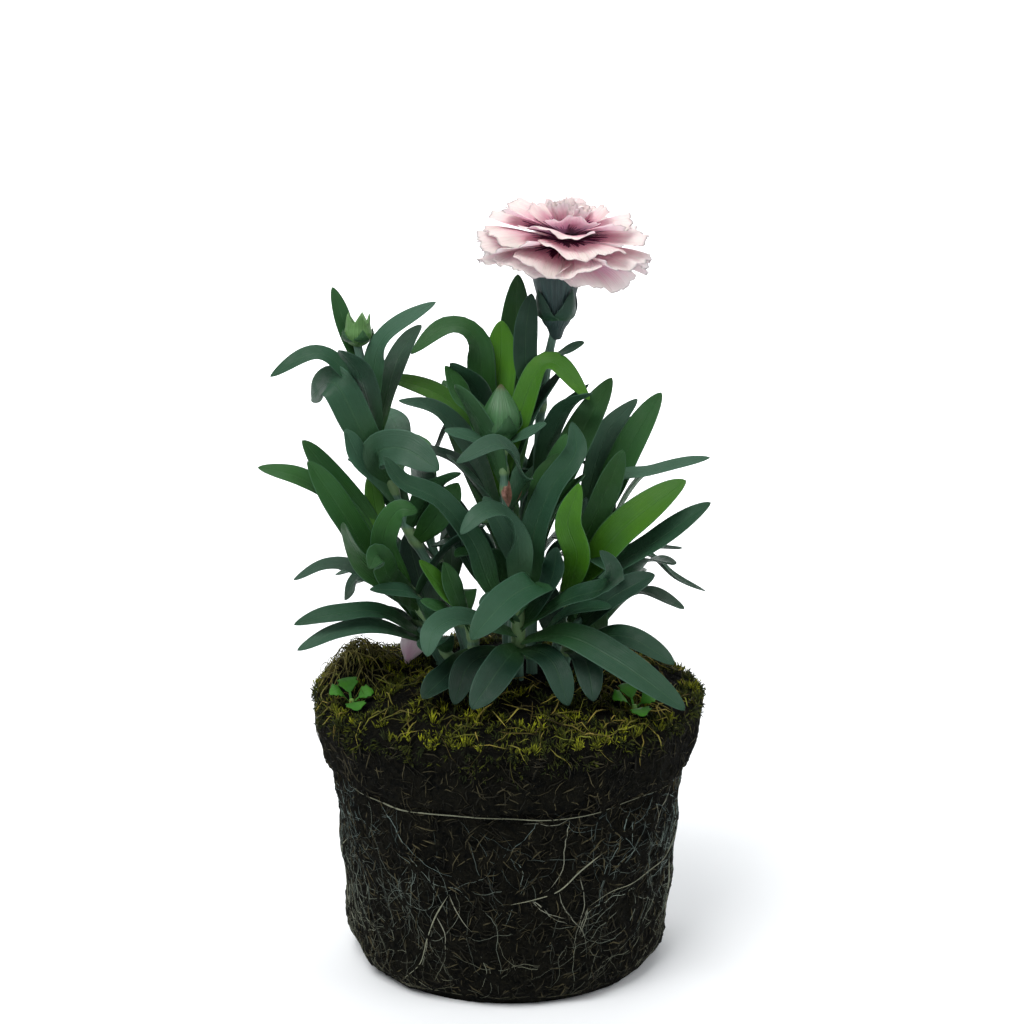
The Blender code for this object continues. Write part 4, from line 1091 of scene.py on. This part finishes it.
def fine_crumbs(looks):
    """Short brown fibres of peat that lie in the side of the ball."""
    draw = random.Random("crumbs")
    bm = marked_bmesh()
    for _ in range(PEAT_FIBRES):
        angle, z = draw.uniform(-math.pi, math.pi), draw.uniform(1.5, PEAT_TOP)
        path = wander(draw, angle, z, draw.uniform(0, 6.3), 4, draw.uniform(0.5, 2.6), 0.6, high=PEAT_TOP)
        shade, thick = draw.random() ** 2.5, draw.uniform(0.06, 0.24)
        strand(bm, path, [0, thick, thick, 0], 3, risen(PEAT_TONES, shade))
    piece(bm, "peat_fibres", looks, "soil")


def top_point(radius, angle, lift):
    """A point this far above the mossy top."""
    x, y = radius * math.cos(angle), radius * math.sin(angle)
    return Vector((x, y, soil_top(x, y) + lift))


def tuft(bm, draw, foot, out, count, length, tone):
    """Moss stems that spread from one foot."""
    for _ in range(count):
        spread = Vector([draw.uniform(-1, 1) for _ in range(3)])
        way = (out + spread * 0.8).normalized()
        reach = length * draw.uniform(0.6, 1.2)
        start = foot + spread * 0.5
        tip = start + way * reach + Vector([draw.uniform(-0.3, 0.3) for _ in range(3)]) * reach
        shade = draw.uniform(0.6, 1.3)
        strand(bm, [start, start + way * reach * 0.55, tip], TUFT_RADII, 3, shaded(tone, shade))


def fine_moss(looks):
    """Tufts of moss on the top, thickest at the rim, where some hang over."""
    draw = random.Random("moss")
    bm = marked_bmesh()
    for _ in range(MOSS_TUFTS):
        angle = draw.uniform(-math.pi, math.pi)
        foot = top_point(RIM_RADIUS - MOSS_BAND * draw.random() ** 1.4, angle, -0.3)
        if noise.noise(foot / 11) < -0.3:
            continue
        bright = draw.random() ** 1.8 * min(1, max(0.2, 0.6 + 1.5 * noise.noise(foot / 8 + UP * 9)))
        tuft(bm, draw, foot, UP, 7, draw.uniform(1.4, 3), risen(MOSS_TONES, bright))
    for _ in range(RIM_TUFTS):
        angle = draw.uniform(-math.pi, math.pi)
        patch = noise.noise(ray(angle) * 4.3)
        drop = (5 + 9 * max(0, patch)) * draw.random() ** 1.5
        foot = side_point(angle, BALL_HEIGHT - 0.5 - drop, -0.4)
        out = Vector((foot.x, foot.y, 0)).normalized() * 0.5 - UP * draw.uniform(0, 0.8)
        bright = draw.random() ** 3 * 0.5
        tuft(bm, draw, foot, out, 6, draw.uniform(1.2, 2.4), risen(RIM_MOSS_TONES, bright))
    piece(bm, "moss", looks, "soil")


def lying_straw(draw):
    """A straw that lies on the moss, and down the side where it reaches past the rim."""
    angle, radius = draw.uniform(-math.pi, math.pi), STRAW_EDGE - STRAW_BAND * draw.random() ** 1.3
    foot = top_point(radius, angle, draw.uniform(0.4, 2))
    way, length, bow = draw.uniform(0, 2 * math.pi), draw.uniform(3, 13), draw.uniform(-0.5, 0.5)
    path = []
    for share in (0, 0.25, 0.5, 0.75, 1):
        spot = foot + ray(way + bow * share) * length * share
        over = math.hypot(spot.x, spot.y) - RIM_RADIUS + 0.5
        if over > 0:
            path.append(side_point(math.atan2(spot.y, spot.x), BALL_HEIGHT - 1 - min(12, over), 0.5))
        else:
            bow_up = 1.8 * math.sin(math.pi * share) * draw.random()
            path.append(Vector((spot.x, spot.y, soil_top(spot.x, spot.y) + 1 + bow_up)))
    return path


def heap_straw(draw):
    """A straw that bows up out of the heap, and stays inside the rim."""
    start = HEAP + Vector((draw.gauss(0, HEAP_STRAW_SPREAD), draw.gauss(0, HEAP_STRAW_SPREAD)))
    way, length, height = draw.uniform(0, 2 * math.pi), draw.uniform(5, 12), draw.uniform(1, 5)
    path = []
    for share in (0, 0.2, 0.4, 0.6, 0.8, 1):
        spot = start + ray(way).xy * length * share
        spot *= min(1, (RIM_RADIUS - 1) / spot.length)
        path.append(Vector((*spot, soil_top(*spot) + height * math.sin(math.pi * share))))
    return path


def fine_straw(looks):
    """Dry grass that lies on the moss, hangs over the rim and stands in a heap at the left of it."""
    draw = random.Random("straw")
    bm = marked_bmesh()
    for _ in range(STRAWS):
        path = lying_straw(draw)
        shade, ripe, thick = 0.1 + 1.5 * draw.random() ** 2, draw.random(), draw.uniform(0.08, 0.22)
        radii = [0, thick, thick * 1.1, thick * 0.9, 0]
        strand(bm, path, radii, 4, shaded(risen(STRAW_TONES, ripe), shade))
    for _ in range(HEAP_STRAWS):
        path = heap_straw(draw)
        tone = shaded(HEAP_STRAW_TONE, draw.uniform(0.15, 0.9))
        strand(bm, path, taper(path, draw.uniform(0.12, 0.26)), 4, tone)
    piece(bm, "dry_grass", looks, "soil")


def fine_weed(name, x, y, looks):
    """A seedling with lobed round leaves on short stalks."""
    bm = marked_bmesh()
    foot = weed_foot(x, y)
    for out, reach, height in weed_leaves():
        side = beside(out)

        def place(row, around):
            share = row / WEED_STEPS
            across, up = math.cos(around), math.sin(around)
            disc = max(0, (share - 0.25) / 0.75)
            lobed = 2.9 * math.sin(math.pi * disc) ** 0.6 * (1 + 0.13 * math.cos(disc * 19))
            half = max(0.35 * min(row, 1), lobed)
            middle = foot + out * reach * (0.1 + 0.9 * share) + UP * height * math.sin(2.1 * share)
            spot = middle + side * across * half
            cup, thick = 0.15 * half * across**2, 0.3 * min(1, half) * up
            spot += UP * (cup + thick + WEED_LEAN * (spot.y - foot.y))
            return spot, (across, disc, up), WEED_TONE

        sleeve(bm, WEED_STEPS, WEED_FINE_SIDES, place)
    low = foot - UP * (WEED_FOOT + WEED_DEPTH)
    stalk = [low, low + UP * 0.1, foot, foot + UP * 0.9, foot + UP]
    strand(bm, stalk, WEED_STALK_RADII, 8, WEED_STALK_TONE)
    piece(bm, name + "_looks", looks, "seedling", name)


def fine_fallen_petal(ground, looks):
    bm = marked_bmesh()
    fine_petal(bm, FALLEN_SHAPE, 0, FALLEN_PHASE, fallen_place(ground))
    piece(bm, "fallen_petal_looks", looks, "petal", "fallen_petal")


def fine_withered_petal(looks):
    """A brownish petal that has dropped and is caught on the middle bud's stem."""
    bm = marked_bmesh()
    place = Matrix.Translation(WITHERED_PLACE) @ Matrix.Rotation(WITHERED_TURN, 4, "Z")
    fine_petal(bm, WITHERED_SHAPE, 0, WITHERED_PHASE, place)
    piece(bm, "withered_petal", looks, "petal")


def step(net, kind, inputs, **settings):
    """A shader node with these settings, whose inputs are plain values or other nodes' outputs."""
    made = net.nodes.new("ShaderNode" + kind)
    for name, value in settings.items():
        setattr(made, name, value)
    for name, value in inputs.items():
        if isinstance(value, bpy.types.NodeSocket):
            net.links.new(value, made.inputs[name])
        else:
            made.inputs[name].default_value = value
    return made


def mixed(net, share, a, b, most=1.0, blend="MIX"):
    """Two colours mixed by a share, which is scaled to be this at most."""
    if most < 1:
        share = sums(net, "MULTIPLY", share, most)
    first, second = [(*c, 1) if isinstance(c, tuple) else c for c in (a, b)]
    return step(net, "Mix", {0: share, 6: first, 7: second}, data_type="RGBA", blend_type=blend).outputs[2]


def sums(net, operation, *values):
    return step(net, "Math", dict(enumerate(values)), operation=operation).outputs[0]


def between(net, value, low, high, to_low=0.0, to_high=1.0):
    """A value's smooth way from one bound to another, as a share."""
    inputs = {"Value": value, "From Min": low, "From Max": high, "To Min": to_low, "To Max": to_high}
    return step(net, "MapRange", inputs, interpolation_type="SMOOTHSTEP").outputs["Result"]


def group(name, inputs, output):
    """An empty node group with its inputs and its one output."""
    made = bpy.data.node_groups.new(name, "ShaderNodeTree")
    for label, kind in inputs.items():
        made.interface.new_socket(label, in_out="INPUT", socket_type="NodeSocket" + kind)
    made.interface.new_socket(output, in_out="OUTPUT", socket_type="NodeSocketFloat")
    return made, made.nodes.new("NodeGroupInput").outputs, made.nodes.new("NodeGroupOutput").inputs[output]


def streaks_group():
    """Fine uneven lines along a blade or cup, from its marks."""
    net, given, put = group("streaks", {"Marks": "Vector", "Stretch": "Vector"}, "Streaks")
    spread = step(net, "VectorMath", {0: given["Marks"], 1: given["Stretch"]}, operation="MULTIPLY")
    shape = {"Vector": spread.outputs[0], "Scale": 1.0, "Detail": 2.0, "Roughness": 0.6}
    lines = step(net, "TexNoise", shape)
    net.links.new(between(net, lines.outputs["Fac"], 0.32, 0.68), put)


def patches_group():
    """Uneven patches of a size, over the whole plant."""
    net, given, put = group("patches", {"Scale": "Float", "Low": "Float", "High": "Float"}, "Patches")
    place = step(net, "TexCoord", {}).outputs["Object"]
    shape = {"Vector": place, "Scale": given["Scale"], "Detail": 3.0, "Roughness": 0.6}
    spots = step(net, "TexNoise", shape)
    net.links.new(between(net, spots.outputs["Fac"], given["Low"], given["High"]), put)


def new_look(name, **plain):
    """A material, its tree and its shader, with these plain values on the shader's sockets."""
    made = bpy.data.materials.new(name)
    made.use_nodes = True
    shader = made.node_tree.nodes["Principled BSDF"]
    for label, value in plain.items():
        shader.inputs[label.replace("_", " ").title().replace("Ior", "IOR")].default_value = value
    return made, made.node_tree, shader


def marks_of(net):
    """The marks of a piece: across, along, and which face."""
    whole = step(net, "Attribute", {}, attribute_name="marks").outputs["Vector"]
    return whole, step(net, "SeparateXYZ", {0: whole}).outputs


def tone_of(net):
    return step(net, "Attribute", {}, attribute_name="tone").outputs["Color"]


def streaks(net, marks, stretch):
    made = step(net, "Group", {}, node_tree=bpy.data.node_groups["streaks"])
    net.links.new(marks, made.inputs["Marks"])
    made.inputs["Stretch"].default_value = stretch
    return made.outputs["Streaks"]


def patches(net, scale, low=0.35, high=0.65):
    made = step(net, "Group", {}, node_tree=bpy.data.node_groups["patches"])
    for label, value in {"Scale": scale, "Low": low, "High": high}.items():
        made.inputs[label].default_value = value
    return made.outputs["Patches"]


def dressed(net, shader, colour, height, distance, strength=1.0):
    """Gives the shader this colour, and relief from this height."""
    net.links.new(colour, shader.inputs["Base Color"])
    bump = step(net, "Bump", {"Height": height, "Distance": distance, "Strength": strength})
    net.links.new(bump.outputs["Normal"], shader.inputs["Normal"])


def leaf_look():
    """A waxy leaf: fine veins, a pale rib, a pale edge that is partly its own margin and partly painted rim
    light, a bloom of wax in patches, a duller underside.
    """
    made, net, shader = new_look("leaf_skin", specular_ior_level=0.22)
    marks, (across, along, face) = marks_of(net)
    veins = streaks(net, marks, (16.0, 1.2, 0.0))
    side = sums(net, "ABSOLUTE", across)
    rib = between(net, side, 0.0, 0.09, 1.0, 0.0)
    foot = between(net, along, 0.0, 0.55, 1.0, 0.0)
    colour = mixed(net, veins, tone_of(net), (0.5, 0.55, 0.5), 0.3, "MULTIPLY")
    colour = mixed(net, patches(net, 70.0), colour, (0.036, 0.095, 0.062), 0.16)
    colour = mixed(net, rib, colour, (0.08, 0.17, 0.07), 0.1)
    # Pale edge: partly the leaf's own margin, partly painted rim light along the outline
    colour = mixed(net, between(net, side, 0.9, 1.0), colour, (0.08, 0.17, 0.12), 0.4)
    colour = mixed(net, foot, colour, (0.035, 0.115, 0.012), 0.45)
    colour = mixed(net, between(net, face, -0.2, 0.2, 0.35, 0.0), colour, (0.028, 0.075, 0.042))
    rough = between(net, patches(net, 240.0), 0.0, 1.0, 0.42, 0.6)
    net.links.new(rough, shader.inputs["Roughness"])
    relief = sums(net, "SUBTRACT", sums(net, "MULTIPLY", veins, 0.4), rib)
    dressed(net, shader, colour, relief, 0.0002, 0.6)
    return made


def stem_look():
    made, net, shader = new_look("stem_skin", roughness=0.5)
    marks, (_, _, swell) = marks_of(net)
    lines = streaks(net, marks, (2.5, 0.08, 0.0))
    colour = mixed(net, lines, (0.06, 0.13, 0.09), (0.09, 0.19, 0.13))
    colour = mixed(net, between(net, swell, 0.15, 0.5), colour, (0.14, 0.24, 0.1))
    dressed(net, shader, colour, lines, 0.0001)
    return made


def bud_look():
    """A bud's own green with lighter lines, and brown at its tip."""
    made, net, shader = new_look("bud_skin", roughness=0.45)
    marks, (_, share, _) = marks_of(net)
    lines = streaks(net, marks, (6.0, 1.0, 0.0))
    green = mixed(net, lines, tone_of(net), (1.4, 1.3, 1.5), blend="MULTIPLY")
    tip = between(net, sums(net, "ADD", share, sums(net, "MULTIPLY", lines, 0.06)), 0.9, 1.02)
    dressed(net, shader, mixed(net, tip, green, (0.09, 0.07, 0.02), 0.8), lines, 0.00015)
    return made


def calyx_look():
    made, net, shader = new_look("calyx_skin", roughness=0.55)
    marks, (_, share, _) = marks_of(net)
    lines = streaks(net, marks, (9.0, 0.8, 0.0))
    colour = mixed(net, lines, (0.008, 0.028, 0.028), (0.02, 0.055, 0.05))
    colour = mixed(net, between(net, share, 0.93, 1.0), colour, (0.1, 0.18, 0.14), 0.5)
    dressed(net, shader, colour, lines, 0.0002)
    return made


def petal_look(name, marked, pink, margin):
    """Pink with a pale toothed margin, and a jagged maroon mark above the claw of a fresh petal."""
    through = {"subsurface_weight": 0.5, "subsurface_radius": (0.005, 0.003, 0.004), "subsurface_scale": 1.0}
    made, net, shader = new_look(name, roughness=0.65, specular_ior_level=0.2, **through)
    marks, (_, along, face) = marks_of(net)
    shifted = step(net, "VectorMath", {0: marks, 1: tone_of(net)}, operation="ADD").outputs[0]
    rays = streaks(net, shifted, (14.0, 0.7, 5.0))
    fine = streaks(net, shifted, (34.0, 1.6, 5.0))
    edge = between(net, sums(net, "ADD", along, sums(net, "MULTIPLY", rays, 0.12)), 0.4, 1.0)
    colour = mixed(net, edge, pink, margin)
    colour = mixed(net, fine, colour, (0.92, 0.62, 0.74), 0.2, "MULTIPLY")
    jag = sums(net, "SUBTRACT", along, sums(net, "MULTIPLY", rays, 0.26))
    colour = mixed(net, between(net, jag, 0.27, 0.29, marked, 0.0), colour, (0.085, 0.004, 0.035))
    colour = mixed(net, between(net, face, -0.1, 0.1, 0.35, 0.0), colour, (0.84, 0.5, 0.64))
    dressed(net, shader, colour, fine, 0.00012)
    return made


def withered_look():
    made, net, shader = new_look("withered_skin", roughness=0.8)
    spots = patches(net, 600.0)
    dressed(net, shader, mixed(net, spots, (0.5, 0.25, 0.2), (0.28, 0.14, 0.09)), spots, 0.0002)
    return made


def thread_look(name, roughness, light, dark, scale):
    """Roots, fibres, straw and moss: their own tone, uneven, and darker towards their foot."""
    made, net, shader = new_look(name, roughness=roughness, specular_ior_level=0.15)
    spots = patches(net, scale)
    _, (_, along, _) = marks_of(net)
    colour = mixed(net, spots, tone_of(net), light, blend="MULTIPLY")
    foot = between(net, along, 0.0, 1.0, dark, 0.0)
    dressed(net, shader, mixed(net, foot, colour, (0.3, 0.3, 0.3), blend="MULTIPLY"), spots, 0.0001)
    return made


def soil_look():
    """Peat: near black, brown where it is dry, rough at every scale."""
    made, net, shader = new_look("peat", roughness=1.0, specular_ior_level=0.05)
    coarse, fine = patches(net, 160.0), patches(net, 700.0)
    colour = mixed(net, coarse, (0.0012, 0.0016, 0.0016), (0.005, 0.005, 0.0036))
    colour = mixed(net, fine, colour, (0.012, 0.011, 0.007), 0.45)
    dressed(net, shader, colour, sums(net, "ADD", coarse, fine), 0.0008)
    return made


def studio(floor_look):
    """A pale floor that rises at its far edge, soft lights, and an even sky."""
    bm = spun([Vector((r, 0, z)) for r, z in FLOOR_PROFILE], FLOOR_SIDES)
    bmesh.ops.recalc_face_normals(bm, faces=bm.faces)
    mesh = bpy.data.meshes.new("floor")
    bm.to_mesh(mesh)
    bm.free()
    mesh.materials.append(floor_look)
    mesh.shade_smooth()
    floor = bpy.data.objects.new("floor", mesh)
    bpy.context.scene.collection.objects.link(floor)
    for name, (place, goal, size, watts) in LIGHTS.items():
        light = bpy.data.lights.new(name, "AREA")
        light.size, light.energy = size, watts
        lamp = bpy.data.objects.new(name, light)
        lamp.location = place
        lamp.rotation_euler = (Vector(goal) - Vector(place)).to_track_quat("-Z", "Y").to_euler()
        bpy.context.scene.collection.objects.link(lamp)
    sky = bpy.data.worlds.new("sky")
    bpy.context.scene.world = sky
    sky.use_nodes = True
    sky.node_tree.nodes["Background"].inputs["Color"].default_value = SKY_COLOUR
    sky.node_tree.nodes["Background"].inputs["Strength"].default_value = SKY_STRENGTH


def floor_look():
    made, net, shader = new_look("pale_floor", roughness=0.8)
    spots = patches(net, 6.0)
    net.links.new(mixed(net, spots, (0.86, 0.87, 0.88), (0.88, 0.89, 0.9)), shader.inputs["Base Color"])
    return made


def camera():
    """In front of the plant and a little above it, where the photograph was taken from."""
    lens = bpy.data.cameras.new("camera")
    lens.sensor_width = SENSOR_WIDTH
    lens.lens = SENSOR_WIDTH * FOCAL_SHARE
    made = bpy.data.objects.new("camera", lens)
    made.location = CAMERA_PLACE
    made.rotation_euler = (math.pi / 2 - CAMERA_PITCH, 0, 0)
    bpy.context.scene.collection.objects.link(made)
    bpy.context.scene.camera = made


def main():
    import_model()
    camera()
    bpy.context.scene.view_settings.view_transform = "Standard"
    streaks_group()
    patches_group()
    studio(floor_look())
    fibre = thread_look("root_fibre", 0.8, light=(1.3, 1.25, 1.2), dark=0.0, scale=400.0)
    green = [leaf_look(), stem_look(), bud_look(), calyx_look()]
    petal = petal_look("petal_skin", marked=1.0, pink=(0.95, 0.38, 0.52), margin=(0.86, 0.7, 0.67))
    fallen = petal_look("fallen_petal_skin", marked=0.0, pink=(0.45, 0.32, 0.37), margin=(0.55, 0.48, 0.5))
    ground = tree(ball_shape())
    for name, leaves in grow(ground).items():
        fine_shoot(name, SHOOTS[name], leaves, green)
    fine_bloom([petal, fibre])
    fine_soil([soil_look()])
    fine_roots([fibre])
    fine_crumbs([fibre])
    fine_moss([thread_look("moss_fibre", 0.8, light=(1.4, 1.4, 1.0), dark=0.7, scale=300.0)])
    fine_straw([thread_look("dry_straw", 0.7, light=(1.3, 1.2, 1.0), dark=0.2, scale=300.0)])
    seedling = thread_look("seedling_skin", 0.5, light=(1.3, 1.2, 1.0), dark=0.2, scale=300.0)
    for name, (x, y) in WEEDS.items():
        fine_weed(name, x, y, [seedling])
    fine_fallen_petal(ground, [fallen])
    fine_withered_petal([withered_look()])
    bpy.data.meshes.remove(SKIN)


main()
